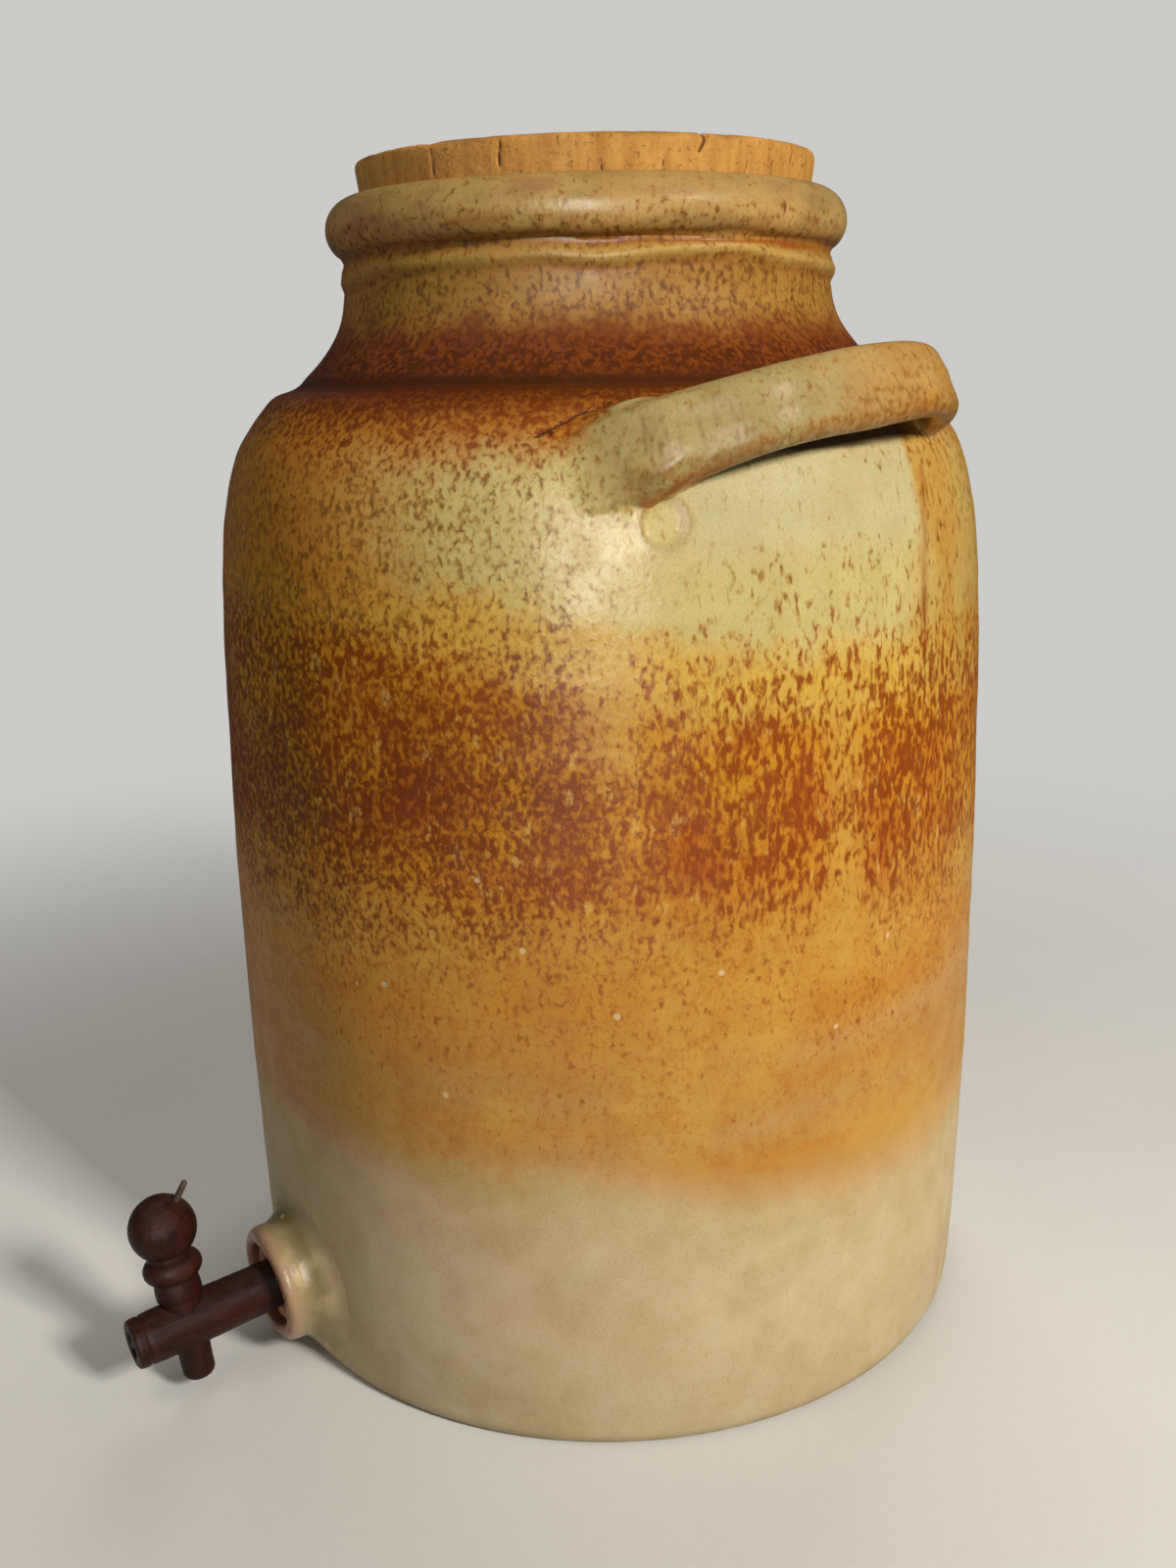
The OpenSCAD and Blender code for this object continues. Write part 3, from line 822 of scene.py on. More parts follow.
def stoneware_material():
    m = Nodes("salt_glazed_stoneware")
    c = m.coords()
    base, fleck = m.attr("base", "Color"), m.attr("fleck", "Color")
    cover, wet, drip = m.attr("cover"), m.attr("wet"), m.attr("drip")
    # flecks: short brown strokes on the paler glaze, drawn out where it ran
    peel = m.noise(m.scaled(c, (1.0, 1.0, 0.80)), 590.0, 2.3, 0.52, 0.35)
    run = m.noise(m.scaled(c, (1.0, 1.0, 0.50)), 560.0, 2.3, 0.52, 0.35)
    blotch = m.range(m.noise(c, 190.0, 2.0, 0.5, 0.3), 0.0, 1.0, -0.07, 0.07, smooth=False)
    islands = m.math("ADD", m.blend(drip, peel, run), blotch)
    level = m.math("SUBTRACT", 0.68, m.math("MULTIPLY", cover, 0.34))
    above = m.math("SUBTRACT", islands, level)
    halo = m.range(above, -0.16, 0.03)
    spots = m.range(above, -0.07, 0.115)
    tone = m.noise(c, 90.0, 4.0, 0.6)
    grain = m.noise(c, 1500.0, 2.0, 0.65)
    col = m.mix(m.range(tone, 0.3, 0.7, 0.0, 0.30), base, (0.78, 0.62, 0.42), "MULTIPLY")
    col = m.mix(m.math("MULTIPLY", halo, 0.62), col, (0.80, 0.56, 0.30), "MULTIPLY")
    # pale drops left between the flecks
    pale = m.range(m.noise(m.scaled(c, (1.0, 1.0, 0.45)), 300.0, 2.0, 0.5, 0.3), 0.60, 0.70)
    xyz = m.new("ShaderNodeSeparateXYZ")
    m.put(xyz.inputs[0], c)
    pale = m.math("MULTIPLY", pale, m.math("MULTIPLY", m.range(cover, 0.25, 0.5, 0.0, 0.5), m.range(xyz.outputs[2], 0.258, 0.244)))
    col = m.mix(pale, col, (0.66, 0.43, 0.11))
    # cloudy orange mottle in the tan zone below the band
    zone = m.math("MULTIPLY", m.range(xyz.outputs[2], 0.078, 0.100), m.range(xyz.outputs[2], 0.190, 0.160))
    mottle = m.range(m.noise(c, 210.0, 5.0, 0.74, 0.2), 0.47, 0.64, 0.0, 0.55)
    col = m.mix(m.math("MULTIPLY", mottle, zone), col, (0.88, 0.66, 0.38), "MULTIPLY")
    col = m.mix(m.math("MULTIPLY", spots, 0.88), col, fleck)
    col = m.mix(m.range(grain, 0.50, 0.72, 0.0, 0.34), col, (0.55, 0.40, 0.24), "MULTIPLY")
    # two fine cracks that run into the shoulder from the root of the strap
    wander = m.range(m.noise(c, 420.0, 3.0, 0.6), 0.25, 0.75, -1.3, 1.3, smooth=False)
    rift = 0.0
    for name in ("rift_a", "rift_b"):
        off = m.math("ABSOLUTE", m.math("ADD", m.attr(name), wander))
        rift = m.math("MAXIMUM", rift, m.math("MULTIPLY", m.range(off, 0.75, 0.25), m.range(m.attr(name + "_on"), 0.2, 0.8)))
    col = m.mix(m.math("MULTIPLY", rift, 0.85), col, (0.050, 0.014, 0.004))
    # pale pocks where grit has burst through the skin
    v = m.voronoi(c, 85.0)
    pock = m.math("MULTIPLY", m.range(v.outputs["Distance"], 0.100, 0.065), m.range(m.red(v.outputs["Color"]), 0.52, 0.54))
    pock = m.math("MULTIPLY", pock, m.math("MULTIPLY", m.range(wet, 0.18, 0.40), m.range(xyz.outputs[2], 0.215, 0.170)))
    col = m.mix(m.math("MULTIPLY", pock, 0.72), col, (0.68, 0.52, 0.28))
    m.put(m.b.inputs["Base Color"], col)
    rough = m.range(wet, 0.0, 1.0, 0.62, 0.29, smooth=False)
    rough = m.math("ADD", rough, m.range(tone, 0.3, 0.7, -0.05, 0.08), clamp=True)
    rough = m.math("ADD", rough, m.math("MULTIPLY", spots, 0.06), clamp=True)
    m.put(m.b.inputs["Roughness"], rough)
    # orange peel
    skin = m.voronoi(c, 520.0, "SMOOTH_F1")
    h = m.math("ADD", m.math("MULTIPLY", skin.outputs["Distance"], 0.5), m.math("MULTIPLY", peel, 0.7))
    h = m.math("MULTIPLY", h, m.range(wet, 0.0, 0.8, 0.2, 1.0))
    h = m.math("SUBTRACT", h, m.math("MULTIPLY", m.math("MAXIMUM", pock, rift), 0.9))
    n1 = m.bump(h, 0.42, 0.00030)
    m.put(m.b.inputs["Normal"], m.bump(grain, 0.15, 0.00010, n1))
    m.b.inputs["IOR"].default_value = 1.48
    m.b.inputs["Specular IOR Level"].default_value = 0.26
    return m.mat


# ---------------------------------------------------------------- the jar
def build_jar():
    bead_start = -math.degrees(math.acos((0.613 * BODY_R - RIM_AT) / RIM_R))
    lip = cork_r(CROCK_H - 3.5) + 0.35
    bead = arc(RIM_AT, RIM_Z, RIM_R, bead_start, 84, 40)
    mouth = np.array([(lip + 2.55, CROCK_H - 0.15), (lip + 1.5, CROCK_H - 0.75), (lip + 0.65, CROCK_H - 1.9),
                      (lip + 0.1, CROCK_H - 3.4), (cork_r(CROCK_H - 9) + 0.35, CROCK_H - 9),
                      (cork_r(CROCK_H - 16.9) + 0.35, CROCK_H - 16.9)])

    def step(p):
        z = p[1]
        return 1.1 if z < 5 else 3.2 if z < 150 else 2.6 if z < 250 else 1.35 if z < 340 else 1.0

    skin = resample(np.vstack([OUTER, bead]), step)
    bottom = resample([(12.0, 0.0), (0.95 * BODY_R - 2, 0.0)], 15.0)
    inside = resample(np.vstack([mouth, INNER[::-1][1:]]), lambda p: 2.2 if p[1] > 344 else 11.0)
    floor_in = [(70.0, 11.95), (40.0, 11.95), (12.0, 11.95), (0.0, 11.95)]
    prof = np.vstack([[(0.0, 0.0)], bottom, skin, inside, floor_in])
    az = np.concatenate([np.arange(38, 70, 0.5), np.arange(70, 125, 0.92), np.arange(125, 380, 1.2),
                         np.arange(380, 398, 0.92)])
    V, F, rows = lathe(prof, np.radians(az - 90))
    ob = make_mesh("stoneware_jar", V, F)
    lo = 1 + len(bottom)
    on = (rows >= lo) & (rows < lo + len(skin))
    N, P = normals_of(ob), points_mm(ob)
    h = relief(P)
    h = np.where(P[:, 2] > 355, np.minimum(h, 0) * smoothstep(362, 355, P[:, 2]), h)
    r = np.hypot(P[:, 0] + N[:, 0] * h, P[:, 1] + N[:, 1] * h)
    h = np.where(r > BODY_R - 0.02, h - (r - BODY_R + 0.02), h)
    P = P + N * np.where(on, h, 0)[:, None]
    P[:, 2] = np.maximum(P[:, 2], 0)
    stash = P.copy()
    P[:, :2] += lean(P[:, 2])
    set_points(ob, P)
    Vc, Fc, _ = lathe([(0, -50), (BORE_R + 0.02, -50), (BORE_R + 0.02, 12), (0, 12)], turns(72))
    cut(ob, make_mesh("bore_cutter", place(BARREL, Vc), Fc))
    sharpen(ob, 50)
    return ob


stone = stoneware_material()
jar = build_jar()
stoneware(jar, "body")
finish_piece(jar, "crock", "crock_body", stone)

right = from_field("strap_handle_right", handle_field, (76, -86, 256), (130, 64, 328), 0.65)
left = bpy.data.objects.new("strap_handle_left", right.data.copy())
scene.collection.objects.link(left)
Q = points_mm(left)
set_points(left, Q * np.array([-1, 1, 1]))
left.data.flip_normals()
for ob, node in ((right, "right_handle"), (left, "left_handle")):
    stoneware(ob, "handle")
    Q = points_mm(ob)
    Q[:, :2] += lean(Q[:, 2])
    Q[:, 0] -= np.sign(Q[:, 0]) * 0.3 * smoothstep(114, 127, np.abs(Q[:, 0]))
    set_points(ob, Q)
    finish_piece(ob, "crock", node, stone)

boss = from_field("tap_boss_collar", boss_field, (-38, -142, 0), (38, -110, 66), 0.6)
stoneware(boss, "boss")
finish_piece(boss, "crock", "tap_boss", stone)


# ---------------------------------------------------------------- cork
def fissures():
    """Lenticels on the cork's side: (azimuth, lower and upper height, half width, depth, sway)."""
    rng = np.random.RandomState(77)
    out = [(83.3, 366.5, 372.2, 0.55, 1.2, 0.7), (37.2, 363.5, 371.6, 0.36, 0.8, 0.3), (19.6, 363.0, 370.0, 0.34, 0.7, 0.2),
           (59.9, 360.5, 364.0, 0.3, 0.7, 0.2), (74.3, 361.0, 365.5, 0.34, 0.8, 0.2), (96.2, 361.5, 366.0, 0.34, 0.7, 0.2),
           (100.5, 361.0, 364.5, 0.3, 0.6, 0.2), (105.5, 361.0, 366.5, 0.36, 0.8, 0.3), (114, 365.0, 371.0, 0.36, 0.8, 0.3),
           (50.5, 368.0, 371.5, 0.3, 0.6, 0.2), (121, 363.0, 370.5, 0.4, 0.8, 0.3)]
    for _ in range(150):
        a, z0 = rng.uniform(-180, 180), rng.uniform(334, 366)
        if 12 < a < 128 and z0 > 350:
            continue
        out.append((a, z0, z0 + rng.gamma(2.0, 1.8), rng.uniform(0.22, 0.42), rng.uniform(0.25, 0.8), rng.uniform(0.1, 0.6)))
    return out


def build_cork():
    z0, n = CORK_Z - CORK_LEN, 720
    side = resample([(cork_r(z0) - 1.2, z0), (cork_r(z0 + 1.2), z0 + 1.2), (cork_r(CORK_Z - 1.5), CORK_Z - 1.5),
                     (cork_r(CORK_Z) - 0.5, CORK_Z - 0.45), (CORK_R - 1.6, CORK_Z)], 0.95)
    V, F, _ = lathe(side, turns(n))
    V, F = V.tolist(), list(F)
    for top in (True, False):
        r, z = (side[-1] if top else side[0])
        a, na = ((len(side) - 1) * n, n) if top else (0, n)
        gap = 1.0 if top else 2.4
        while r - gap > 1.2 * gap:
            r -= gap
            nb = max(6, int(round(2 * math.pi * r / gap)))
            b = len(V)
            V += [(r * math.cos(t), r * math.sin(t), z) for t in turns(nb)]
            tri = zipper(a, na, b, nb)
            F += tri if top else [f[::-1] for f in tri]
            a, na = b, nb
        V.append((0, 0, z))
        tri = [(a + k, a + (k + 1) % na, len(V) - 1) for k in range(na)]
        F += tri if top else [f[::-1] for f in tri]
    ob = make_mesh("mouth_cork", V, F)
    P, N = points_mm(ob), normals_of(ob)
    az, z, r = azimuth(P), P[:, 2], np.hypot(P[:, 0], P[:, 1])
    h = 0.12 * fbm(P, 9, 3, 71) - 0.15
    pit = np.zeros(len(P))
    flank = smoothstep(CORK_R - 6, CORK_R - 4.5, r + 0.14 * (CORK_Z - z))
    for a, lo, hi, w, deep, sway in fissures():
        x = ((az - a + 180) % 360 - 180) * math.radians(1) * cork_r(z) + sway * np.sin((z - lo) * 0.9 + a)
        along = smoothstep(lo - 0.6, lo + 0.8, z) * smoothstep(hi + 0.6, hi - 0.8, z)
        k = hill(x, 0, w) * along * flank
        h -= 0.75 * deep * k
        pit = np.maximum(pit, k * min(1, 0.45 + deep * 0.6))
    rng = np.random.RandomState(5)
    face = smoothstep(CORK_Z - 0.6, CORK_Z - 0.1, z) + smoothstep(z0 + 0.6, z0 + 0.1, z)
    for _ in range(260):
        rr, aa = 70 * math.sqrt(rng.uniform()), rng.uniform(0, 2 * math.pi)
        size, long, dirn = rng.gamma(2.2, 0.33) + 0.25, rng.uniform(1.0, 3.2), rng.uniform(-0.5, 0.5) + 0.9
        x, y = P[:, 0] - rr * math.cos(aa), P[:, 1] - rr * math.sin(aa)
        u, v = x * math.cos(dirn) + y * math.sin(dirn), -x * math.sin(dirn) + y * math.cos(dirn)
        k = np.exp(-((u / (size * long)) ** 2 + (v / size) ** 2)) * face
        h -= 0.85 * min(size, 1.0) * k
        pit = np.maximum(pit, k)
    h -= 0.35 * np.maximum(fbm(P, 9, 2, 83), 0) * hill(z, CORK_Z, 1.4) * flank      # crumbled upper edge
    h = np.minimum(h, -0.02)
    P = P + N * h[:, None]
    P[:, :2] += LEAN
    set_points(ob, P)
    put(ob, "pit", np.clip(pit, 0, 1))
    put(ob, "rim", np.clip(hill(z, CORK_Z - 0.2, 1.1) * flank * smoothstep(-0.35, 0.35, fbm(P, 14, 3, 87)), 0, 1))
    put(ob, "stain", smoothstep(357, 343, z + 2.2 * fbm(P, 16, 3, 89)) * smoothstep(-1, 1, z))
    put(ob, "loc", P * MM)
    sharpen(ob, 55)
    return ob


def cork_material(name, dark):
    m = Nodes(name)
    c = m.coords()
    pit, rim, stain = m.attr("pit"), m.attr("rim"), m.attr("stain")
    streak = m.noise(m.scaled(c, (1.0, 1.0, 0.22)), 260.0, 4.0, 0.6)
    cells = m.noise(c, 700.0, 3.0, 0.62)
    tone = m.noise(c, 60.0, 4.0, 0.55)
    if dark:
        a, b, d = (0.50, 0.215, 0.120), (0.37, 0.150, 0.082), (0.10, 0.040, 0.022)
    else:
        a, b, d = (0.62, 0.325, 0.075), (0.50, 0.235, 0.045), (0.10, 0.030, 0.008)
    col = m.mix(m.range(streak, 0.35, 0.65), a, b)
    col = m.mix(m.range(tone, 0.35, 0.70, 0.0, 0.35), col, (0.80, 0.62, 0.42), "MULTIPLY")
    col = m.mix(m.range(cells, 0.55, 0.72, 0.0, 0.6), col, d)
    col = m.mix(m.range(cells, 0.42, 0.28, 0.0, 0.25), col, tuple(min(1, x * 1.35) for x in a))
    col = m.mix(m.math("MULTIPLY", stain, 0.72), col, (0.13, 0.045, 0.022))
    col = m.mix(m.math("MULTIPLY", rim, 0.75), col, (0.20, 0.075, 0.018))
    col = m.mix(m.range(pit, 0.25, 0.75, 0.0, 0.92), col, d)
    m.put(m.b.inputs["Base Color"], col)
    m.put(m.b.inputs["Roughness"], m.range(tone, 0.3, 0.7, 0.78, 0.92))
    n1 = m.bump(m.math("ADD", cells, m.math("MULTIPLY", streak, 0.8)), 0.5, 0.0005)
    m.put(m.b.inputs["Normal"], m.bump(m.noise(c, 2400.0, 2.0, 0.6), 0.25, 0.00015, n1))
    m.b.inputs["Specular IOR Level"].default_value = 0.25
    return m.mat


cork = build_cork()
finish_piece(cork, "stopper", "cork_stopper", cork_material("stopper_cork", False))


def tail_r(t):
    return 7.9 + 0.028 * t


def build_sleeve():
    prof = resample([(tail_r(-26) + 0.47, -25.6), (tail_r(-24) + 0.9, -26), (BORE_R - 0.9, -26), (BORE_R - 0.08, -25),
                     (BORE_R - 0.08, -4.0), (BORE_R - 0.5, -3.3), (BORE_R - 1.2, -3.05), (tail_r(-3) + 1.0, -3.05),
                     (tail_r(-3) + 0.47, -3.6), (tail_r(-26) + 0.47, -25.6)], 0.8)[:-1]
    V, F, rows = lathe(prof[::-1], turns(120), loop=True)
    ob = make_mesh("tap_cork_bung", V, [f[::-1] for f in F])
    bm = bmesh.new()
    bm.from_mesh(ob.data)
    bmesh.ops.recalc_face_normals(bm, faces=bm.faces)
    bm.to_mesh(ob.data)
    bm.free()
    P, N = points_mm(ob), normals_of(ob)
    face = smoothstep(-4.2, -3.2, P[:, 2])
    h = -0.45 * face * (0.5 + 0.5 * fbm(P, 3.2, 3, 91)) - 0.03
    pit = smoothstep(0.25, 0.6, fbm(P, 2.6, 2, 93)) * face
    P = P + N * (h - 0.5 * pit)[:, None]
    keep = np.hypot(P[:, 0], P[:, 1])
    P[:, :2] *= (np.clip(keep, tail_r(P[:, 2]) + 0.46, BORE_R - 0.06) / keep)[:, None]
    set_points(ob, place(BARREL, P))
    put(ob, "pit", pit)
    put(ob, "rim", np.zeros(len(P)))
    put(ob, "stain", np.zeros(len(P)))
    sharpen(ob, 55)
    return ob


finish_piece(build_sleeve(), "crock", "tap_cork_sleeve", cork_material("bung_cork", True))


# ---------------------------------------------------------------- turned wooden tap
def wood_material(name, deep, mid, high, dust_and_sheen, rough):
    """Wood whose grain runs along the z of the piece's own turning axis."""
    m = Nodes(name)
    p = m.attr("loc", "Vector")
    wear = m.attr("wear")
    fibre = m.noise(m.scaled(p, (1.0, 1.0, 0.05)), 1400.0, 4.0, 0.62, 0.3)
    figure = m.noise(m.scaled(p, (1.0, 1.0, 0.16)), 210.0, 3.0, 0.55, 0.8)
    pores = m.noise(m.scaled(p, (1.0, 1.0, 0.10)), 2300.0, 2.0, 0.5)
    patch = m.noise(p, 150.0, 4.0, 0.6)
    col = m.mix(m.range(figure, 0.32, 0.68), deep, mid)
    col = m.mix(m.range(fibre, 0.45, 0.75, 0.0, 0.55), col, high)
    col = m.mix(m.range(pores, 0.60, 0.72, 0.0, 0.75), col, tuple(x * 0.35 for x in deep))
    worn = m.math("MULTIPLY", wear, m.range(patch, 0.35, 0.65), clamp=True)
    col = m.mix(m.math("MULTIPLY", worn, 0.7), col, high)
    # lighter, greyer dust tone, which on the knob's top is also a painted highlight
    col = m.mix(m.math("MULTIPLY", m.attr("dust_and_sheen"), m.range(patch, 0.30, 0.70, 0.15, 0.55)), col, dust_and_sheen)
    m.put(m.b.inputs["Base Color"], col)
    r = m.math("ADD", m.range(patch, 0.3, 0.7, rough - 0.08, rough + 0.10), m.range(pores, 0.58, 0.72, 0.0, 0.12), clamp=True)
    m.put(m.b.inputs["Roughness"], r)
    n1 = m.bump(m.math("ADD", fibre, m.math("MULTIPLY", pores, -0.7)), 0.45, 0.00022)
    m.put(m.b.inputs["Normal"], m.bump(patch, 0.2, 0.0004, n1))
    m.b.inputs["Specular IOR Level"].default_value = 0.14
    return m.mat


tap_wood = wood_material("dark_tap_wood", (0.013, 0.0032, 0.0018), (0.029, 0.0068, 0.0034), (0.068, 0.017, 0.008),
                         (0.060, 0.036, 0.026), 0.48)
peg_wood = wood_material("peg_wood", (0.055, 0.034, 0.020), (0.085, 0.054, 0.032), (0.13, 0.088, 0.055),
                         (0.10, 0.078, 0.058), 0.70)


def turned(name, profile, n, frame_matrix, loop=False):
    V, F, rows = lathe(profile, turns(n), loop)
    return make_mesh(name, V, F), rows


def wood_attrs(ob, M, wear, dust_and_sheen):
    put(ob, "loc", local(M, points_mm(ob)) * MM)
    put(ob, "wear", np.clip(wear, 0, 1))
    put(ob, "dust_and_sheen", np.clip(dust_and_sheen, 0, 1))


def build_barrel():
    nose, ch = 44.5, 4.0
    outer = [(ch + 0.5, -42.0), (tail_r(-42) - 0.9, -42.0), (tail_r(-42) - 0.25, -41.7), (tail_r(-41), -41.0),
             (tail_r(-12), -12.0), (tail_r(0), 0.0), (7.98, 8.0), (8.18, 17.6), (8.18, 35.6), (8.05, 39.3), (7.92, 39.75),
             (7.62, 40.1), (7.62, 40.5), (7.9, 40.85), (7.95, 41.5), (7.86, 43.2), (7.62, 43.9), (7.2, 44.35), (6.7, 44.5),
             (ch + 0.8, 44.5), (ch + 0.25, 44.3), (ch, 43.7)]
    prof = np.vstack([resample(outer, lambda p: 0.35 if p[1] > 39 else 0.9), [(ch, 30.0), (ch, 0.0), (ch, -30.0), (ch, -41.4)]])
    V, F, _ = lathe(prof, turns(112), loop=True)
    ob = make_mesh("tap_barrel_turned", V, F)
    P, N = points_mm(ob), normals_of(ob)
    t, r = P[:, 2], np.hypot(P[:, 0], P[:, 1])
    out = smoothstep(5.5, 6.2, r) * smoothstep(-1.0, 3.0, t)
    lines = -0.05 * hill(t, 12.2, 0.35) - 0.07 * hill(t, 14.0, 0.35) + 0.035 * np.sin(t * 5.2) * smoothstep(4, 8, t)
    dents = -0.22 * np.maximum(fbm(P, 7, 2, 101) - 0.25, 0)
    h = out * (lines + dents - 0.02) - 0.10 * smoothstep(0.1, 0.5, fbm(P, 4, 2, 103)) * smoothstep(42.5, 44.2, t) * smoothstep(4.6, 5.2, r)
    P = P + N * h[:, None]
    set_points(ob, place(BARREL, P))
    Vc, Fc, _ = lathe([(0, -12), (5.95 - 0.9 + 0.08, -12), (5.95 + 0.9 + 0.08, 12), (0, 12)], turns(96))
    cut(ob, make_mesh("seat_cutter", place(KEY, Vc), Fc))
    L = local(BARREL, points_mm(ob))
    t, r = L[:, 2], np.hypot(L[:, 0], L[:, 1])
    wear = 0.9 * hill(t, 43.9, 0.8) + 0.9 * hill(t, 39.4, 0.5) + 0.8 * hill(t, 41.2, 0.5)
    wear = np.where(r < 4.3, 0, wear)
    up = L[:, 1] / np.maximum(r, 1e-6)
    wood_attrs(ob, BARREL, wear, 0.55 * smoothstep(0.2, 1.0, up) * (r > 4.3) * (t > -2))
    sharpen(ob, 40)
    return ob


def build_key():
    def plug(h):
        return 5.95 + 0.075 * h
    k, R = 32.0, 10.55
    prof = np.vstack([[(0, -18.55)], resample(np.vstack([arc(2.4, -15.9, 2.65, -88, 0, 8), [(5.1, -13.0), (plug(-9), -9.0)]]), 0.5),
                      resample([(plug(-8.9), -8.9), (plug(8.9), 8.9)], 1.2),
                      resample(np.vstack([[(plug(9.0) + 0.25, 9.15), (7.0, 9.3), (7.2, 9.6), (7.28, 11.5), (7.1, 13.6), (6.95, 14.4)],
                                          arc(5.4, 19, 3.88, -68, 68, 16), [(7.0, 22.9), (6.85, 23.5), (6.85, 24.1)],
                                          arc(0, k, R, -47, 89, 44)]), 0.45), [(0, k + R)]])
    V, F, _ = lathe(prof, turns(112))
    ob = make_mesh("tap_key_turned", V, F)
    P, N = points_mm(ob), normals_of(ob)
    h, r = P[:, 2], np.hypot(P[:, 0], P[:, 1])
    free = smoothstep(9.6, 11.0, h) + smoothstep(-9.4, -10.5, h)
    d = 0.03 * np.sin(h * 5.0) - 0.05 * hill(h, 36.2, 0.4) - 0.24 * np.maximum(fbm(P, 8, 2, 111) - 0.2, 0) - 0.02
    d = d - 0.10 * smoothstep(0.15, 0.6, fbm(P, 4.5, 2, 113)) * (hill(h, 19, 2.5) + hill(h, 40, 4))
    P = P + N * (free * d)[:, None]
    set_points(ob, place(KEY, P))
    Vc, Fc, _ = lathe([(0, -15), (3.2, -15), (3.2, 15), (0, 15)], turns(48))
    cut(ob, make_mesh("port_cutter", place(KEY @ Matrix.Rotation(math.radians(90), 4, "Y"), Vc), Fc))
    Vc, Fc, _ = lathe([(0, 0), (1.28, 0), (1.28, 20), (0, 20)], turns(32))
    cut(ob, make_mesh("peg_cutter", place(PEG, Vc), Fc))
    L = local(KEY, points_mm(ob))
    h, r = L[:, 2], np.hypot(L[:, 0], L[:, 1])
    wear = 0.7 * hill(h, 19, 1.6) + 0.8 * hill(h, 24.8, 0.5) + 0.35 * smoothstep(28, 34, h) + 0.4 * hill(h, -17.5, 1.6)
    # the knob's top is painted lighter: dust and a painted highlight from above
    wood_attrs(ob, KEY, wear, 0.9 * smoothstep(36, 41, h) + 0.3 * hill(h, 21.5, 1.2))
    sharpen(ob, 40)
    return ob


def build_peg():
    prof = np.vstack([[(0, 0.05)], resample([(0.9, 0.05), (1.1, 0.4), (1.12, 5.0), (1.08, 10.0), (0.98, 12.0), (0.8, 12.45)], 0.35), [(0, 12.55)]])
    V, F, _ = lathe(prof, turns(36))
    ob = make_mesh("knob_peg", V, F)
    P, N = points_mm(ob), normals_of(ob)
    out = smoothstep(6.0, 7.0, P[:, 2])
    ang = np.arctan2(P[:, 1], P[:, 0])
    h = out * (-0.06 + 0.05 * np.sin(ang * 3 + 0.5) + 0.06 * fbm(P, 2.4, 2, 121)) - 0.12 * smoothstep(0, 0.5, fbm(P, 1.2, 2, 123)) * smoothstep(11.6, 12.4, P[:, 2])
    P = P + N * np.minimum(h, 0)[:, None]
    set_points(ob, place(PEG, P))
    wood_attrs(ob, PEG, smoothstep(10, 12.4, P[:, 2]), 0.5 * out)
    sharpen(ob, 50)
    return ob


finish_piece(build_barrel(), "tap", "tap_barrel", tap_wood)
finish_piece(build_key(), "key", "tap_key", tap_wood)
finish_piece(build_peg(), "key", "key_peg", peg_wood)


# ---------------------------------------------------------------- floor, light, camera
def floor_material():
    """Pale floor that fades out far from the object."""
    m = Nodes("pale_floor")
    c = m.coords()
    weave = m.noise(m.scaled(c, (1.0, 0.25, 1.0)), 700.0, 2.0, 0.6)
    t = m.noise(c, 6.0, 4.0, 0.55)
    col = m.mix(m.range(t, 0.3, 0.7), (0.68, 0.67, 0.645), (0.71, 0.70, 0.675))
    col = m.mix(m.range(weave, 0.3, 0.7, 0.0, 0.08), col, (0.5, 0.49, 0.46))
    m.put(m.b.inputs["Base Color"], col)
    m.b.inputs["Roughness"].default_value = 0.85
    m.put(m.b.inputs["Normal"], m.bump(weave, 0.12, 0.0003))
    length = m.new("ShaderNodeVectorMath", operation="LENGTH")
    m.put(length.inputs[0], c)
    m.put(m.b.inputs["Alpha"], m.range(length.outputs["Value"], 0.24, 0.80, 1.0, 0.0))
    return m.mat


me = bpy.data.meshes.new("floor")
ring = [(2.6 * math.cos(a), 2.6 * math.sin(a), 0.0) for a in turns(64)]
me.from_pydata(ring, [], [tuple(range(64))])
floor = bpy.data.objects.new("floor", me)
scene.collection.objects.link(floor)
me.materials.append(floor_material())

ALPHA = math.radians(56.0)


def area(name, az, el, dist, size, power, colour, target, shine=True, wash=True):
    """A soft light at this azimuth to the right of the camera, and this elevation, as seen from the target."""
    a, e = ALPHA + math.radians(az), math.radians(el)
    L = bpy.data.lights.new(name, "AREA")
    L.shape = "RECTANGLE"
    L.size, L.size_y = size
    L.energy = power
    L.color = colour
    ob = bpy.data.objects.new(name, L)
    scene.collection.objects.link(ob)
    t = Vector(target)
    ob.location = t + Vector((math.sin(a) * math.cos(e), -math.cos(a) * math.cos(e), math.sin(e))) * dist
    ob.rotation_euler = (t - ob.location).to_track_quat("-Z", "Y").to_euler()
    ob.visible_camera = False
    ob.visible_glossy = shine
    ob.visible_diffuse = wash


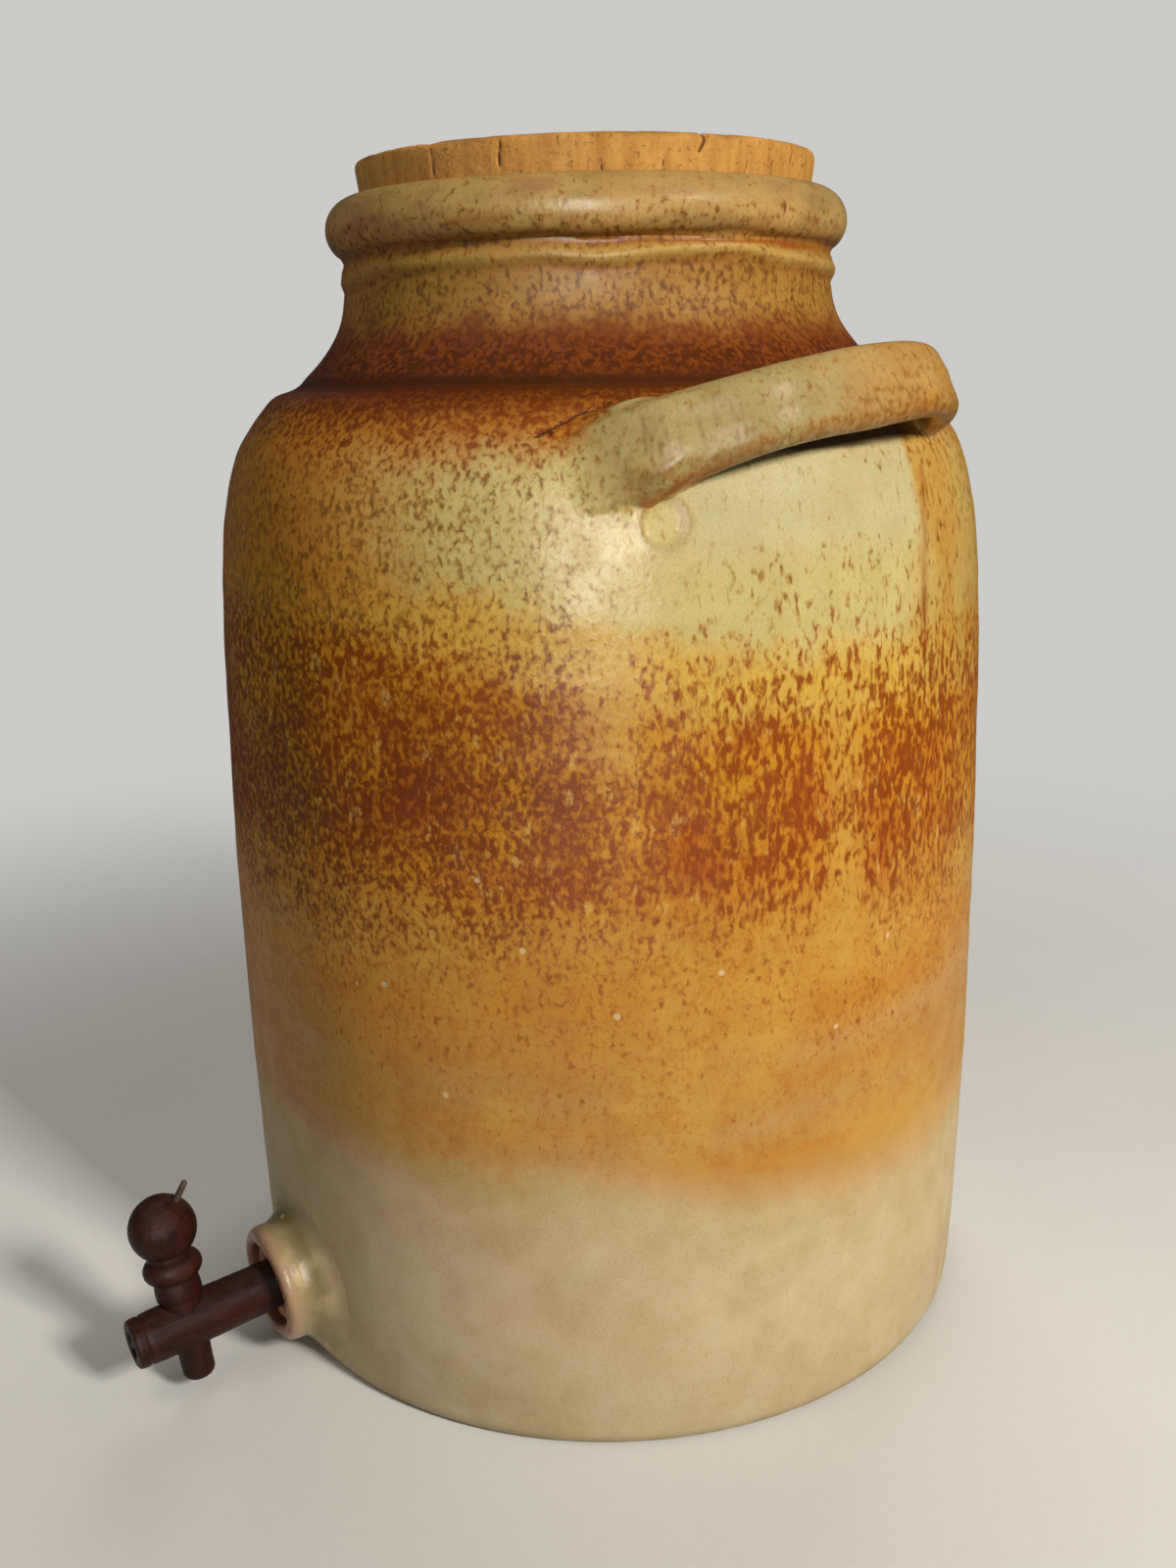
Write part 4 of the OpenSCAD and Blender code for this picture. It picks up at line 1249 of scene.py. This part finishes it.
area("window_right", 42, 27, 1.9, (0.30, 0.30), 38, (1.0, 0.955, 0.875), (0, 0, 0.2), shine=False)
area("fill_left", -42, 35, 0.50, (0.45, 0.45), 0.85, (1.0, 0.93, 0.82), (0, 0, 0.38), shine=False)
area("lamp_right", 52, 30, 1.9, (0.30, 0.40), 13, (1.0, 0.98, 0.95), (0, 0, 0.27), wash=False)
area("lamp_front", -1, 12, 1.2, (0.46, 0.58), 17, (1.0, 0.98, 0.95), (0, 0, 0.27), wash=False)
area("fill_back", 170, 35, 2.4, (1.8, 1.4), 28, (1.0, 0.98, 0.95), (0, 0, 0.2), shine=False)

world = bpy.data.worlds.new("studio")
scene.world = world
world.use_nodes = True
wt = world.node_tree
bg = wt.nodes["Background"]
bg.inputs["Color"].default_value = (0.60, 0.595, 0.58, 1)
path = wt.nodes.new("ShaderNodeLightPath")
lit = wt.nodes.new("ShaderNodeMapRange")
lit.inputs["To Min"].default_value = 0.08
lit.inputs["To Max"].default_value = 1.0
wt.links.new(path.outputs["Is Camera Ray"], lit.inputs["Value"])
wt.links.new(lit.outputs["Result"], bg.inputs["Strength"])

cam = bpy.data.cameras.new("camera")
cam.lens = 1550 * 36 / 1600
cam.sensor_width = 36
cam.sensor_fit = "AUTO"
cam.clip_start = 0.01
cam.clip_end = 50
cam_ob = bpy.data.objects.new("camera", cam)
scene.collection.objects.link(cam_ob)
D, H, TH, RO, PSI = 505.14, 315.17, math.radians(15.83), math.radians(1.31), math.radians(0.6)
r0 = Vector((math.cos(PSI), math.sin(PSI), 0))
y1 = Vector((-math.sin(PSI), math.cos(PSI), 0))
fwd = math.cos(TH) * y1 - Vector((0, 0, math.sin(TH)))
up0 = math.sin(TH) * y1 + Vector((0, 0, math.cos(TH)))
R3 = Matrix.Rotation(ALPHA, 3, "Z")
cols = [R3 @ (math.cos(RO) * r0 - math.sin(RO) * up0), R3 @ (math.sin(RO) * r0 + math.cos(RO) * up0), -(R3 @ fwd)]
M = Matrix([[cols[j][i] for j in range(3)] for i in range(3)]).to_4x4()
M.translation = R3 @ Vector((0, -D, H)) * MM
cam_ob.matrix_world = M
scene.camera = cam_ob

scene.view_settings.view_transform = "Standard"
scene.view_settings.look = "None"
